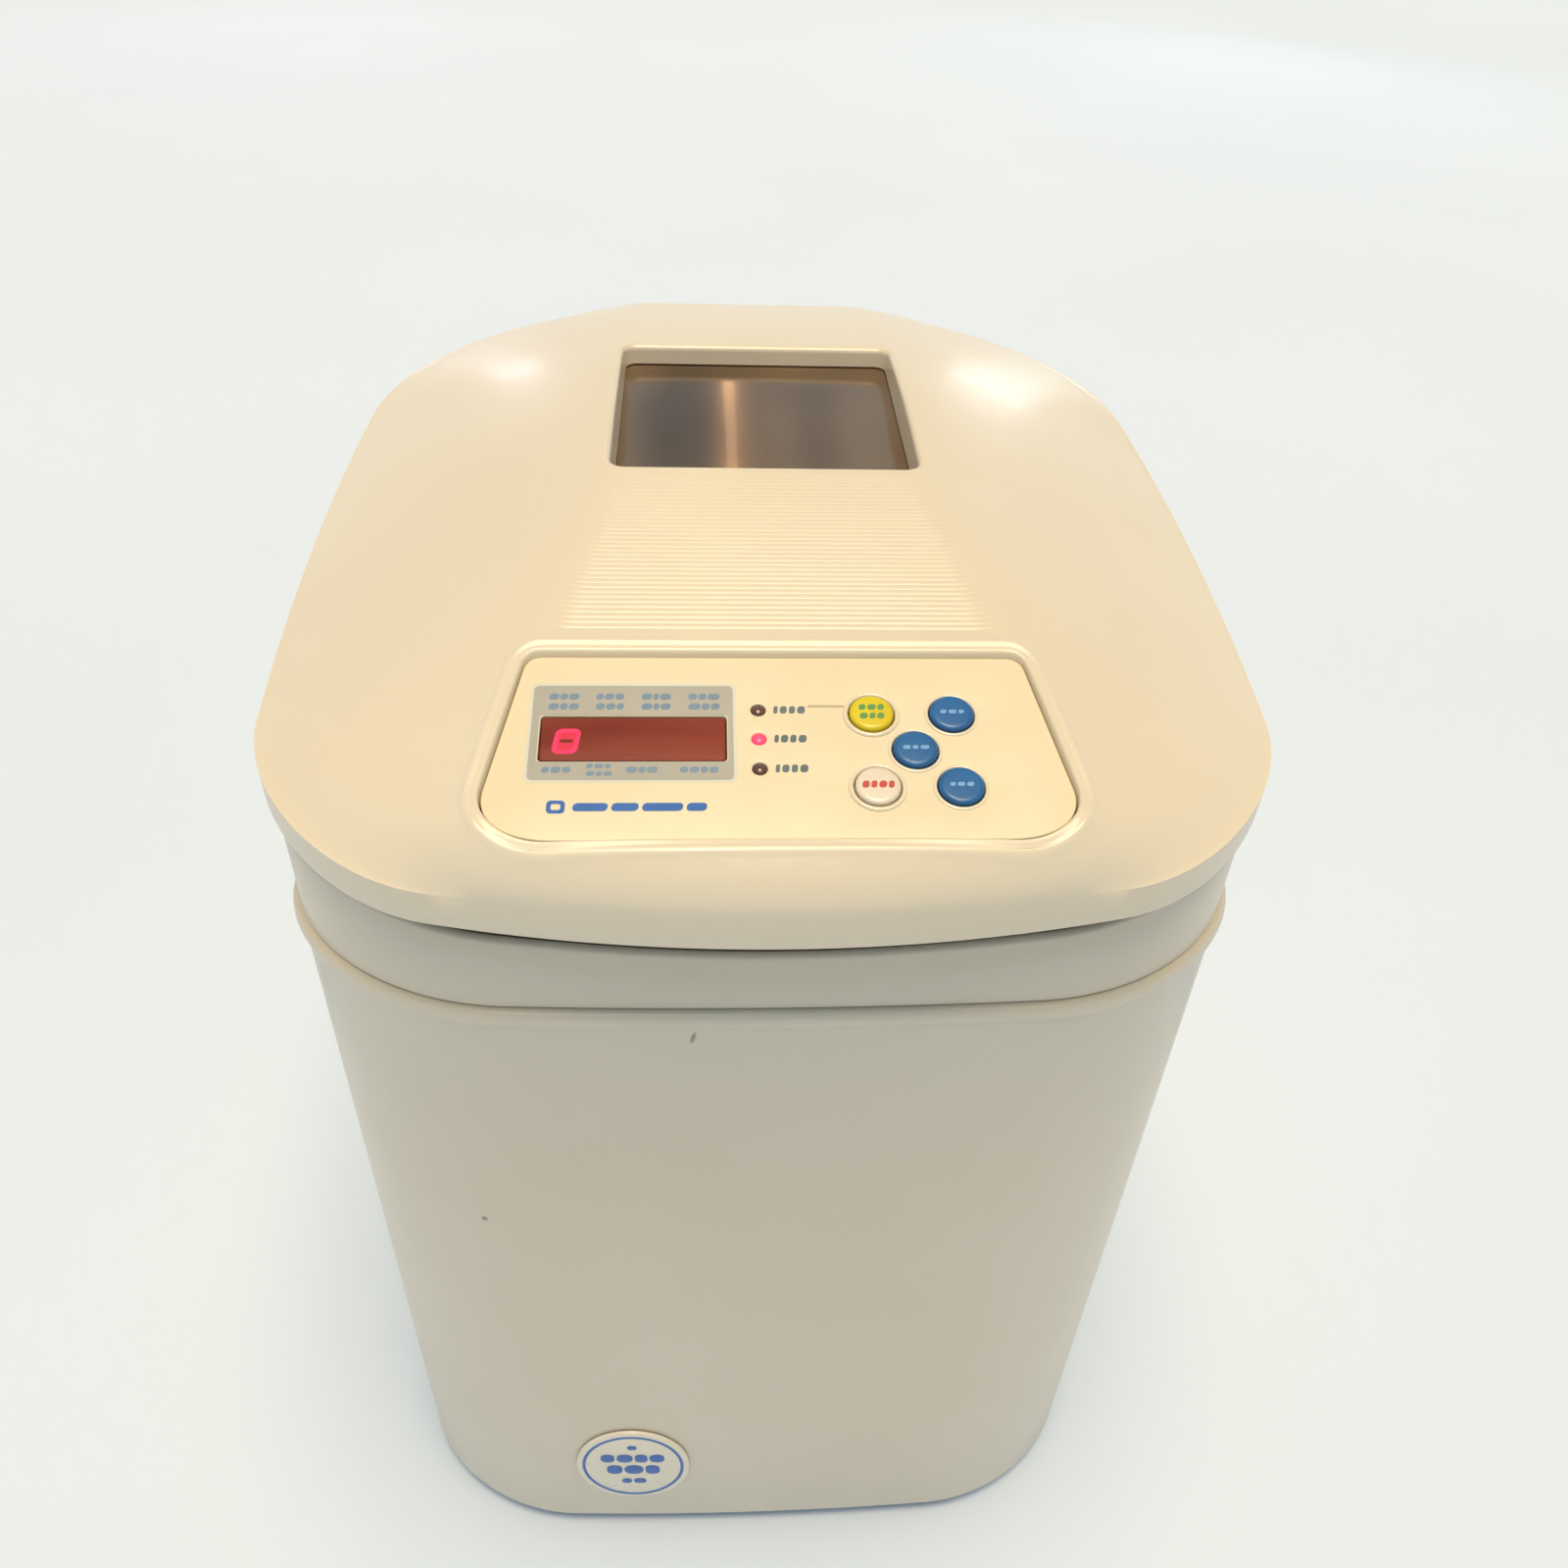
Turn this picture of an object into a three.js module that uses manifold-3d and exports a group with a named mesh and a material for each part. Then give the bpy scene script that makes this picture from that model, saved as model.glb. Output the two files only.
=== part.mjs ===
// Bread machine: a tall rounded housing whose whole top is a hinged lid with a window and a control panel.
// Millimetres, +Z up, front towards -Y. The origin is the middle of the footprint.
// Needs only the npm packages three and manifold-3d.
import * as THREE from "three";
import { mergeVertices } from "three/addons/utils/BufferGeometryUtils.js";
import Module from "manifold-3d";

const wasm = await Module();
wasm.setup();

// ---------- Driving dimensions ----------
const GAP = 0.3; // clearance between pieces that touch
const WALL = 2.5; // moulded plastic wall
const SHEET = 1.2; // pressed sheet metal

// Housing plan outline: half width, front and back before they bow outwards, and each corner's
// elliptical radii, across and along.
const HOUSING = {
  halfWidth: 114.8, front: -148, back: 155, frontCorner: [52.4, 42], backCorner: [88, 87],
  frontBow: 4.5, backBow: 5, sideBow: 8.7,
};
const WIDEST = HOUSING.halfWidth + HOUSING.sideBow;
// The lid overhangs the housing, most of all at the middle of the front, where fingers lift it.
const SIDE_OVERHANG = 2;
const FRONT_LIP = 16;
const LID = {
  halfWidth: HOUSING.halfWidth + SIDE_OVERHANG,
  front: HOUSING.front + 3.7,
  back: HOUSING.back + 5.3,
  frontCorner: [42.5, 46.5],
  backCorner: [84, 91],
  frontBow: HOUSING.frontBow + FRONT_LIP,
  backBow: HOUSING.backBow - 0.5,
  sideBow: HOUSING.sideBow,
};

// Heights, stacked upwards from the surface the machine stands on.
const FOOT_HEIGHT = 5;
const SHELL_HEIGHT = 272;
const RIM_HEIGHT = 31;
const LID_GAP = 3; // between the deck and the lid's lower edge
const SKIRT_HEIGHT = 9.5;
const CROWN = 35; // rise of the lid above its skirt
const SHELL_BOTTOM = FOOT_HEIGHT;
const SHELL_TOP = SHELL_BOTTOM + SHELL_HEIGHT;
const DECK_TOP = SHELL_TOP + RIM_HEIGHT;
const LID_BOTTOM = DECK_TOP + LID_GAP;
const LID_EDGE = LID_BOTTOM + SKIRT_HEIGHT;
const HEIGHT = LID_EDGE + CROWN;
const BASE_THICKNESS = 2.5;
const DECK_THICKNESS = 2.5;
const RIM_SETBACK = 1.5; // the rim stands this far inside the housing's face
const RIM_WALL = WALL + 0.6;

// Lid top: a ridge falling towards the front and the back, flat across between two creases.
const FRONT_FALL = 0.00091; // fall per square millimetre of distance from the crest
const BACK_FALL = 0.0012;
const SIDE_POWER = 1.22; // how the sides fall from the crease to the edge
const ROLL_SHARE = 0.06; // share of the plan over which the lid rolls down to its edge
const CREASES = [[-170, 64], [-146, 62], [-105.5, 55], [-33, 41.5], [51, 41], [170, 38]]; // y, half width

// The oven hangs from the deck. It keeps its distance from the sides and the back of the housing.
const OVEN_DEPTH = 195;
const OVEN_MARGIN = { side: 31.5, back: 25 };
const OVEN = {
  halfWidth: WIDEST - OVEN_MARGIN.side,
  halfDepth: OVEN_DEPTH / 2,
  y: HOUSING.back - OVEN_MARGIN.back - OVEN_DEPTH / 2,
  radius: 30,
  floor: 108,
  flange: 7,
};
const PAN_MARGIN = { side: 24, front: 25.5, below: 19, above: 46 }; // between the oven and the pan's rim
const PAN_TAPER = 6;
const PAN = {
  bottom: OVEN.floor + PAN_MARGIN.below,
  rim: DECK_TOP - PAN_MARGIN.above,
  topHalfWidth: OVEN.halfWidth - PAN_MARGIN.side,
  topHalfDepth: OVEN.halfDepth - PAN_MARGIN.front,
  topRadius: 28,
  bottomRadius: 24,
  wall: 1.6,
  lip: 3,
};
const PAN_BASE = { outer: 34, wall: 4, height: 14 };
const BAIL = { wire: 1.9, reach: 55, halfSpan: PAN.topHalfWidth + 9, pivotAboveRim: 4, bend: 12 };
const ELEMENT = {
  z: OVEN.floor + 16,
  radius: 3.2,
  halfWidth: OVEN.halfWidth - 12,
  halfDepth: OVEN.halfDepth - 12.5,
  bend: 24,
  legX: 14,
  legLength: 9.5,
};
const SENSOR = { x: 40, z: OVEN.floor + 52, radius: 3, inside: 12, outside: 10 };

// The drive: a motor in front of the oven turns a large pulley under it through a belt.
const SHAFT = 4; // radius of every drive shaft
const BORE = SHAFT + GAP;
const FLAT = SHAFT - 1.2; // distance of the flat on the pan's shaft from its axis
const CHASSIS = { bottom: OVEN.floor - 24, thickness: 2, inset: 8, back: HOUSING.back - 44 };
const MOTOR = { y: HOUSING.front + 40, radius: 33, bottom: CHASSIS.bottom + 5, height: 57 };
const PULLEY = { large: 50, small: 9, bottom: CHASSIS.bottom - 26, height: 12, flange: 2.4, lip: 1.2 };
const BELT = { width: 8, thickness: 2, gap: 0.6 };
const BEARING = { radius: SHAFT + 8, collar: SHAFT + 14, neck: SHAFT + 7 };
const COUPLER = { bottom: OVEN.floor + SHEET + 0.8, disc: 3, lug: 8, radius: SHAFT + 10 };
const CLIP = { width: 16, height: 15.4, gap: 0.6 };
const PADDLE = {
  bottom: PAN.bottom + 4.6,
  hubHeight: 24,
  hub: SHAFT + 4.5,
  reach: PAN.topHalfWidth - PAN_TAPER - 16,
  blade: 34,
  thickness: 4.4,
};

const WINDOW = { halfWidth: 40.5, front: -32.5, back: 51, depth: 9, glass: 4, lap: 3, corner: 5 };
const SEAL = { thickness: 1.8, lap: 1 };
const PANEL = {
  y: LID.front + 14.3, drop: 2, thickness: 2.4, ledge: 2, lap: 4, back: 25, shoulder: -12, front: -25,
  backHalfWidth: 55, shoulderHalfWidth: 62, frontHalfWidth: 47.5,
};
const HINGE = {
  x: HOUSING.halfWidth - HOUSING.backCorner[0] + 12, y: HOUSING.back + 4, z: DECK_TOP - 8,
  halfWidth: 7.7, ear: 3, pin: 2, knuckle: 5,
};
const BADGE = { x: -41, z: 47.5, halfWidth: 19, halfHeight: 24, thickness: 0.6 };
const CORD_HOLE = { x: -30, z: 30, radius: 8.5 };
const VENTS = { count: 8, pitch: 10, width: 3, bottom: 50, top: 95 };
const FOOT = { radius: 10, stem: 4, sink: 2.5 };
const SCREW = { shank: 1.8, head: 3.6, headHeight: 2.4, length: 20, slot: 1 };
const footX = WIDEST - 37.5;
const legX = WIDEST - 25.5;
const FEET = {
  front_left: [-footX, HOUSING.front + 36],
  front_right: [footX, HOUSING.front + 36],
  rear_left: [12 - footX, HOUSING.back - 31],
  rear_right: [footX - 12, HOUSING.back - 31],
};
const LEG = 14;
const LEGS = [HOUSING.front + 88, HOUSING.back - 57].flatMap((y) => [[-legX, y], [legX, y]]);

// ---------- Colours ----------
const colour = (hex, roughness = 0.5, metalness = 0) =>
  new THREE.MeshStandardMaterial({ color: hex, roughness, metalness });
const CREAM = colour(0xeadfc6, 0.35);
const OVERLAY = colour(0xefe4c8, 0.4);
const DARK = colour(0x3a3936, 0.6);
const RUBBER = colour(0x2b2b2a, 0.9);
const SILICONE = colour(0x8f8d88, 0.8);
const STEEL = colour(0xb9bbbd, 0.35, 0.9);
const COATED = colour(0x4a4a4c, 0.45, 0.5);
const GLASS = colour(0x4a3c2a, 0.1, 0.1);
const RED = colour(0x7a2a22, 0.15);
const BOARD = colour(0x2f6b3c, 0.6);
const COPPER = colour(0xa8673a, 0.4, 0.9);
const BLUE = colour(0x1f62ad, 0.35);
const YELLOW = colour(0xe8cf2a, 0.35);
const WHITE = colour(0xf2ede2, 0.35);
const LED_OFF = colour(0x5a2a26, 0.3);
const LED_ON = colour(0xff3a52, 0.3);

// ---------- Solids ----------
// A closed three.js geometry as a manifold-3d solid, with its faces turned outwards.
function solid(geometry) {
  const bare = new THREE.BufferGeometry().setAttribute("position", geometry.getAttribute("position"));
  bare.setIndex(geometry.index);
  const merged = mergeVertices(bare, 1e-4);
  const kept = [];
  for (let i = 0; i < merged.index.count; i += 3) {
    const [a, b, c] = [0, 1, 2].map((k) => merged.index.getX(i + k));
    if (a !== b && b !== c && a !== c) kept.push(a, b, c);
  }
  const build = (triangles) =>
    new wasm.Manifold(
      new wasm.Mesh({
        numProp: 3,
        vertProperties: new Float32Array(merged.attributes.position.array),
        triVerts: new Uint32Array(triangles),
      }),
    );
  const made = build(kept);
  return made.volume() < 0 ? build(kept.reverse()) : made;
}

function geometryOf(made) {
  const { numProp, vertProperties, triVerts, numVert } = made.getMesh();
  const positions = new Float32Array(numVert * 3);
  for (let i = 0; i < numVert; i++) {
    positions.set(vertProperties.subarray(i * numProp, i * numProp + 3), i * 3);
  }
  const geometry = new THREE.BufferGeometry();
  geometry.setAttribute("position", new THREE.BufferAttribute(positions, 3));
  geometry.setIndex(new THREE.BufferAttribute(triVerts, 1));
  geometry.computeVertexNormals();
  return geometry;
}

const join = (first, ...rest) => rest.reduce((sum, piece) => sum.add(piece), first);
const cut = (first, ...rest) => rest.reduce((left, piece) => left.subtract(piece), first);

function box(x0, x1, y0, y1, z0, z1) {
  const geometry = new THREE.BoxGeometry(x1 - x0, y1 - y0, z1 - z0);
  return solid(geometry.translate((x0 + x1) / 2, (y0 + y1) / 2, (z0 + z1) / 2));
}

function cylinder(radius, z0, z1, x = 0, y = 0, sides = 20) {
  const geometry = new THREE.CylinderGeometry(radius, radius, z1 - z0, sides).rotateX(Math.PI / 2);
  return solid(geometry.translate(x, y, (z0 + z1) / 2));
}

function cylinderX(radius, x0, x1, y, z, sides = 12) {
  const geometry = new THREE.CylinderGeometry(radius, radius, x1 - x0, sides).rotateZ(Math.PI / 2);
  return solid(geometry.translate((x0 + x1) / 2, y, z));
}

function cylinderY(radius, y0, y1, x, z, sides = 16) {
  const geometry = new THREE.CylinderGeometry(radius, radius, y1 - y0, sides);
  return solid(geometry.translate(x, (y0 + y1) / 2, z));
}

// A solid of revolution about a vertical axis, from [radius, z] pairs that end on the axis or close.
function turned(profile, x = 0, y = 0, sides = 20) {
  const points = profile.map(([radius, z]) => new THREE.Vector2(radius, z));
  return solid(new THREE.LatheGeometry(points, sides).rotateX(Math.PI / 2).translate(x, y, 0));
}

// A turned ring from its bore, outer radius and ends.
const ring = (bore, outer, z0, z1, x = 0, y = 0, sides = 20) =>
  turned([[bore, z0], [outer, z0], [outer, z1], [bore, z1], [bore, z0]], x, y, sides);

function prism(points, z0, z1) {
  const shape = new THREE.Shape(points.map(([x, y]) => new THREE.Vector2(x, y)));
  const geometry = new THREE.ExtrudeGeometry(shape, { depth: z1 - z0, bevelEnabled: false });
  return solid(geometry.translate(0, 0, z0));
}

// Skin over rings of equal point count, bottom ring first, closed by a cap at each end.
function loft(rings) {
  const count = rings[0].length;
  const positions = rings.flat(2);
  const index = [];
  for (let level = 0; level + 1 < rings.length; level++) {
    for (let i = 0; i < count; i++) {
      const a = level * count + i;
      const b = level * count + ((i + 1) % count);
      index.push(a, b, b + count, a, b + count, a + count);
    }
  }
  const cap = (level, flip) => {
    const flat = rings[level].map(([x, y]) => new THREE.Vector2(x, y));
    for (const [a, b, c] of THREE.ShapeUtils.triangulateShape(flat, [])) {
      const first = level * count;
      if (flip) index.push(first + c, first + b, first + a);
      else index.push(first + a, first + b, first + c);
    }
  };
  cap(0, true);
  cap(rings.length - 1, false);
  const geometry = new THREE.BufferGeometry();
  geometry.setAttribute("position", new THREE.BufferAttribute(new Float32Array(positions), 3));
  geometry.setIndex(index);
  return solid(geometry);
}

const atHeight = (points, z) => points.map(([x, y]) => [x, y, z]);

// A tube of round section along a smooth curve through the points.
function wire(points, radius, steps, sides = 6) {
  const path = new THREE.CatmullRomCurve3(points.map((p) => new THREE.Vector3(...p)), false, "centripetal");
  const section = new THREE.Shape(
    Array.from({ length: sides }, (_, i) => {
      const angle = (2 * Math.PI * i) / sides;
      return new THREE.Vector2(radius * Math.cos(angle), radius * Math.sin(angle));
    }),
  );
  return solid(new THREE.ExtrudeGeometry(section, { steps, extrudePath: path, bevelEnabled: false }));
}

// ---------- Outlines ----------
const CORNER_STEPS = 6; // chords in each corner of the large outlines

// A rounded rectangle about x = 0, as points counter-clockwise from above.
function roundedRectangle(halfWidth, front, back, radius, corner = 5) {
  const points = [];
  const centres = [[1, -1, -90], [1, 1, 0], [-1, 1, 90], [-1, -1, 180]];
  for (const [sx, sy, start] of centres) {
    const cx = sx * (halfWidth - radius);
    const cy = sy > 0 ? back - radius : front + radius;
    for (let i = 0; i <= corner; i++) {
      const angle = THREE.MathUtils.degToRad(start + (90 * i) / corner);
      points.push([cx + radius * Math.cos(angle), cy + radius * Math.sin(angle)]);
    }
  }
  return points;
}

// The right half of a bowed, round-cornered outline, from the front's middle to the back's.
function halfOutline(plan, grow) {
  const halfWidth = plan.halfWidth + grow;
  const front = plan.front - grow;
  const back = plan.back + grow;
  const [frontAcross, frontAlong] = plan.frontCorner.map((radius) => radius + grow);
  const [backAcross, backAlong] = plan.backCorner.map((radius) => radius + grow);
  const flat = [];
  const straight = (x0, y0, x1, y1, steps) => {
    for (let i = 0; i < steps; i++) flat.push([x0 + ((x1 - x0) * i) / steps, y0 + ((y1 - y0) * i) / steps]);
  };
  const corner = (x, y, across, along, start) => {
    for (let i = 0; i < CORNER_STEPS; i++) {
      const angle = start + (Math.PI / 2) * (i / CORNER_STEPS);
      flat.push([x + across * Math.cos(angle), y + along * Math.sin(angle)]);
    }
  };
  const frontX = halfWidth - frontAcross;
  const frontY = front + frontAlong;
  const backX = halfWidth - backAcross;
  const backY = back - backAlong;
  straight(0, front, frontX, front, 3);
  corner(frontX, frontY, frontAcross, frontAlong, -Math.PI / 2);
  straight(halfWidth, frontY, halfWidth, backY, 3);
  corner(backX, backY, backAcross, backAlong, 0);
  straight(backX, back, 0, back, 2);
  flat.push([0, back]);
  const middle = (front + back) / 2;
  const halfDepth = (back - front) / 2;
  return flat.map(([x, y]) => {
    const u = x / halfWidth;
    const v = (y - middle) / halfDepth;
    const bow = v < 0 ? plan.frontBow : plan.backBow;
    return [x + plan.sideBow * (1 - v * v) * u, y + bow * (1 - u * u) * v];
  });
}

function outline(plan, grow = 0) {
  const right = halfOutline(plan, grow);
  const left = right.slice(1, -1).reverse().map(([x, y]) => [-x, y]);
  return [...right, ...left];
}

// Value at x on a line through sorted [x, value] pairs.
function along(pairs, x) {
  const last = pairs.length - 1;
  if (x <= pairs[0][0]) return pairs[0][1];
  if (x >= pairs[last][0]) return pairs[last][1];
  const i = pairs.findIndex(([at]) => at > x);
  const [[x0, v0], [x1, v1]] = [pairs[i - 1], pairs[i]];
  return v0 + ((v1 - v0) * (x - x0)) / (x1 - x0);
}

// Where the back of an outline is, at a distance x from its middle.
function backAt(plan, grow, x) {
  const back = halfOutline(plan, grow).filter(([, y]) => y > plan.back - plan.backCorner[1]);
  return along(back.reverse(), x);
}

// ---------- Lid surface ----------
const crest = (y) => HEIGHT - (y < 0 ? FRONT_FALL : BACK_FALL) * y * y;
const lidSides = halfOutline(LID, 0).map(([x, y]) => [y, x]);

// Height of the lid's top before it rolls down to its edge.
function lidHeight(x, y) {
  const crease = along(CREASES, y);
  const edge = along(lidSides, y);
  const share = edge > crease ? THREE.MathUtils.clamp((Math.abs(x) - crease) / (edge - crease), 0, 1) : 0;
  return LID_EDGE + (Math.max(crest(y), LID_EDGE) - LID_EDGE) * (1 - share ** SIDE_POWER);
}

// One ring of the lid's skin: the outline shrunk to a share of its size, lying on the lid's surface.
function lidRing(grow, share, drop) {
  const roll = Math.min((1 - share) / ROLL_SHARE, 1);
  const rise = Math.sqrt(roll * (2 - roll));
  return outline(LID, grow).map(([x, y]) => {
    const height = lidHeight(x * share, y * share);
    return [x * share, y * share, LID_EDGE + (height - LID_EDGE) * rise - drop];
  });
}

const lidSolid = (grow, bottom, drop, shares) =>
  loft([atHeight(outline(LID, grow), bottom), ...shares.map((share) => lidRing(grow, share, drop))]);

// The panel's own frame: x across, y up the slope, z out of the panel. Its origin is on the lid's crest.
const panelSlope = Math.atan(-2 * FRONT_FALL * PANEL.y);
const panelFrame = new THREE.Matrix4()
  .makeTranslation(0, PANEL.y, crest(PANEL.y))
  .multiply(new THREE.Matrix4().makeRotationX(panelSlope));
const onPanel = (made) => made.transform(panelFrame.elements);

// The panel's outline: narrow at the back, widest at the shoulders, rounded in to a straight front.
function panelOutline(grow = 0) {
  const shape = new THREE.Shape();
  const shoulderX = PANEL.shoulderHalfWidth + grow;
  const backX = PANEL.backHalfWidth + grow;
  const frontX = PANEL.frontHalfWidth + grow * 0.6;
  const back = PANEL.back + grow;
  const front = PANEL.front - grow;
  const corner = 3;
  shape.moveTo(0, front);
  shape.lineTo(frontX, front);
  shape.bezierCurveTo(frontX + 9, front, shoulderX + 1.5, front + 5, shoulderX, PANEL.shoulder);
  shape.lineTo(backX + 1, back - corner);
  shape.quadraticCurveTo(backX, back, backX - corner, back);
  shape.lineTo(-backX + corner, back);
  shape.quadraticCurveTo(-backX, back, -backX - 1, back - corner);
  shape.lineTo(-shoulderX, PANEL.shoulder);
  shape.bezierCurveTo(-shoulderX - 1.5, front + 5, -frontX - 9, front, -frontX, front);
  return shape.getPoints(5).slice(0, -1).map(({ x, y }) => [x, y]);
}
const panelTop = -PANEL.drop;
const panelBottom = panelTop - PANEL.thickness;

// ---------- The object ----------
const machine = new THREE.Group();
machine.name = "bread_machine";

function add(name, material, made) {
  const mesh = new THREE.Mesh(geometryOf(made), material);
  mesh.name = name;
  machine.add(mesh);
  return mesh;
}

// ---------- Housing ----------
const wallCut = { front: HOUSING.back - 10, back: HOUSING.back + 20 }; // cuts through the back wall only

function outerShell() {
  const chamfer = 1.2;
  const outside = loft([
    atHeight(outline(HOUSING, -chamfer), SHELL_BOTTOM),
    atHeight(outline(HOUSING), SHELL_BOTTOM + chamfer),
    atHeight(outline(HOUSING), SHELL_TOP - chamfer),
    atHeight(outline(HOUSING, -chamfer), SHELL_TOP),
  ]);
  const inside = prism(outline(HOUSING, -WALL), SHELL_BOTTOM - 1, SHELL_TOP + 1);
  const slots = Array.from({ length: VENTS.count }, (_, i) => {
    const x = (i - (VENTS.count - 1) / 2) * VENTS.pitch;
    const half = VENTS.width / 2;
    return box(x - half, x + half, wallCut.front, wallCut.back, VENTS.bottom, VENTS.top);
  });
  const cordHole = cylinderY(CORD_HOLE.radius, wallCut.front, wallCut.back, CORD_HOLE.x, CORD_HOLE.z);
  return cut(outside, inside, cordHole, ...slots);
}
add("outer_shell", CREAM, outerShell());

const NOTCH = {
  halfWidth: HINGE.halfWidth + GAP + HINGE.ear + 0.8,
  front: HINGE.y - 13,
  bottom: HINGE.z - 10,
};
const ovenOpening = (grow = 0) => {
  const halfDepth = OVEN.halfDepth + grow;
  return roundedRectangle(
    OVEN.halfWidth + grow, OVEN.y - halfDepth, OVEN.y + halfDepth, OVEN.radius + grow,
  );
};

const rimInside = -RIM_SETBACK - RIM_WALL;

function topRim() {
  const edge = 1.5;
  const tongue = 13;
  const foot = SHELL_TOP + GAP;
  const outside = loft([
    atHeight(outline(HOUSING, -RIM_SETBACK), foot),
    atHeight(outline(HOUSING, -RIM_SETBACK), DECK_TOP - edge),
    atHeight(outline(HOUSING, -RIM_SETBACK - edge), DECK_TOP),
  ]);
  const inside = prism(outline(HOUSING, rimInside), foot - 1, DECK_TOP - DECK_THICKNESS);
  const tongueRing = cut(
    prism(outline(HOUSING, -WALL - GAP), foot - tongue, foot + 2),
    prism(outline(HOUSING, -WALL - GAP - 2.2), foot - tongue - 1, foot + 3),
  );
  const opening = prism(ovenOpening(), DECK_TOP - 20, DECK_TOP + 1);
  const notches = [-1, 1].map((side) =>
    box(
      side * HINGE.x - NOTCH.halfWidth, side * HINGE.x + NOTCH.halfWidth,
      NOTCH.front, HINGE.y + 20, NOTCH.bottom, DECK_TOP + 1,
    ),
  );
  return cut(join(cut(outside, inside), tongueRing), opening, ...notches);
}
add("top_rim", CREAM, topRim());

const BOARD_DEPTH = 76;
const BOARD_MARGIN = 16.5; // between the power board and the housing's back wall
const POWER_BOARD = {
  halfWidth: 62,
  front: HOUSING.back - WALL - BOARD_MARGIN - BOARD_DEPTH,
  depth: BOARD_DEPTH,
  z: 24,
  thickness: 1.6,
};
const BOARD_POSTS = [-1, 1].flatMap((side) =>
  [6, POWER_BOARD.depth - 6].map((y) => [side * (POWER_BOARD.halfWidth - 8), POWER_BOARD.front + y]),
);
const baseTop = SHELL_BOTTOM + BASE_THICKNESS;

function basePlate() {
  const plate = prism(outline(HOUSING, -WALL - GAP), SHELL_BOTTOM, baseTop);
  const stems = Object.values(FEET).map(([x, y]) => cylinder(FOOT.stem + 0.4, 0, 20, x, y, 12));
  const screws = LEGS.map(([x, y]) => cylinder(SCREW.shank + 0.6, 0, 20, x, y, 8));
  const vents = [-40, -24, -8, 8, 24, 40].map((x) =>
    box(x - 1.8, x + 1.8, MOTOR.y - 20, MOTOR.y + 38, 0, 20),
  );
  const posts = BOARD_POSTS.map(([x, y]) => cylinder(3, baseTop - 0.5, POWER_BOARD.z - GAP, x, y, 8));
  return cut(join(plate, ...posts), ...stems, ...screws, ...vents);
}
add("base_plate", CREAM, basePlate());

for (const [name, [x, y]] of Object.entries(FEET)) {
  const pad = cylinder(FOOT.radius, 0, SHELL_BOTTOM - GAP, x, y);
  const stem = cylinder(FOOT.stem, 1, baseTop + FOOT.sink, x, y, 12);
  add(`foot_${name}`, RUBBER, join(pad, stem));
}
LEGS.forEach(([x, y], i) => {
  const { shank, head, headHeight, length, slot } = SCREW;
  const top = SHELL_BOTTOM - GAP;
  const cap = cylinder(head, top - headHeight, top, x, y, 12);
  const rod = cylinder(shank, top - 1, top + length, x, y, 8);
  const driverSlot = box(x - head, x + head, y - slot / 2, y + slot / 2, 0, top - headHeight + 1);
  add(`base_screw_${i + 1}`, STEEL, cut(join(cap, rod), driverSlot));
});

function cordBushing() {
  const { x, z, radius } = CORD_HOLE;
  const wallFace = HOUSING.back + HOUSING.backBow;
  const barrel = cylinderY(radius - 0.4, wallFace - 9, wallFace + 1, x, z);
  const flange = cylinderY(radius + 2.5, wallFace + GAP, wallFace + 2, x, z);
  return cut(join(barrel, flange), cylinderY(3.8, wallFace - 20, wallFace + 20, x, z));
}
add("cord_bushing", DARK, cordBushing());

// An oval plate that follows the slightly bowed front of the housing.
function frontBadge() {
  const disc = new THREE.Shape().absellipse(0, 0, BADGE.halfWidth, BADGE.halfHeight, 0, 2 * Math.PI);
  const flat = disc.getPoints(28).slice(0, -1).map(({ x, y }) => [x, y]);
  const ellipse = prism(flat, -20, 20)
    .transform(new THREE.Matrix4().makeRotationX(Math.PI / 2).elements)
    .translate([BADGE.x, HOUSING.front, BADGE.z]);
  const outer = prism(outline(HOUSING, GAP + BADGE.thickness), 0, 2 * BADGE.z);
  const inner = prism(outline(HOUSING, GAP), -1, 2 * BADGE.z + 1);
  return cut(outer, inner).intersect(ellipse);
}
add("front_badge", WHITE, frontBadge());

// ---------- Chassis, oven and drive ----------
const chassisTop = CHASSIS.bottom + CHASSIS.thickness;

function chassis() {
  const limit = box(-200, 200, -200, CHASSIS.back, 0, 200);
  const plate = prism(outline(HOUSING, -CHASSIS.inset), CHASSIS.bottom, chassisTop).intersect(limit);
  const half = LEG / 2;
  const legs = LEGS.map(([x, y]) =>
    box(x - half, x + half, y - half, y + half, baseTop + GAP, chassisTop),
  );
  const posts = [-1, 1].flatMap((side) =>
    [-1, 1].map((end) => {
      const x = side * (OVEN.halfWidth - 26);
      const y = OVEN.y + end * (OVEN.halfDepth - 37);
      return box(x - 5, x + 5, y - 5, y + 5, CHASSIS.bottom, OVEN.floor - GAP);
    }),
  );
  const boreTop = SHELL_BOTTOM + SCREW.length + 4;
  const bores = LEGS.map(([x, y]) => cylinder(SCREW.shank + 0.5, 0, boreTop, x, y, 8));
  const bearingHole = cylinder(BEARING.radius + 0.4, 0, 200, 0, OVEN.y);
  const motorHole = cylinder(14, 0, 200, 0, MOTOR.y);
  return cut(join(plate, ...legs, ...posts), ...bores, bearingHole, motorHole);
}
add("chassis", STEEL, chassis());

const ovenFront = OVEN.y - OVEN.halfDepth;
const flangeBottom = DECK_TOP - DECK_THICKNESS - GAP - SHEET;

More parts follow.
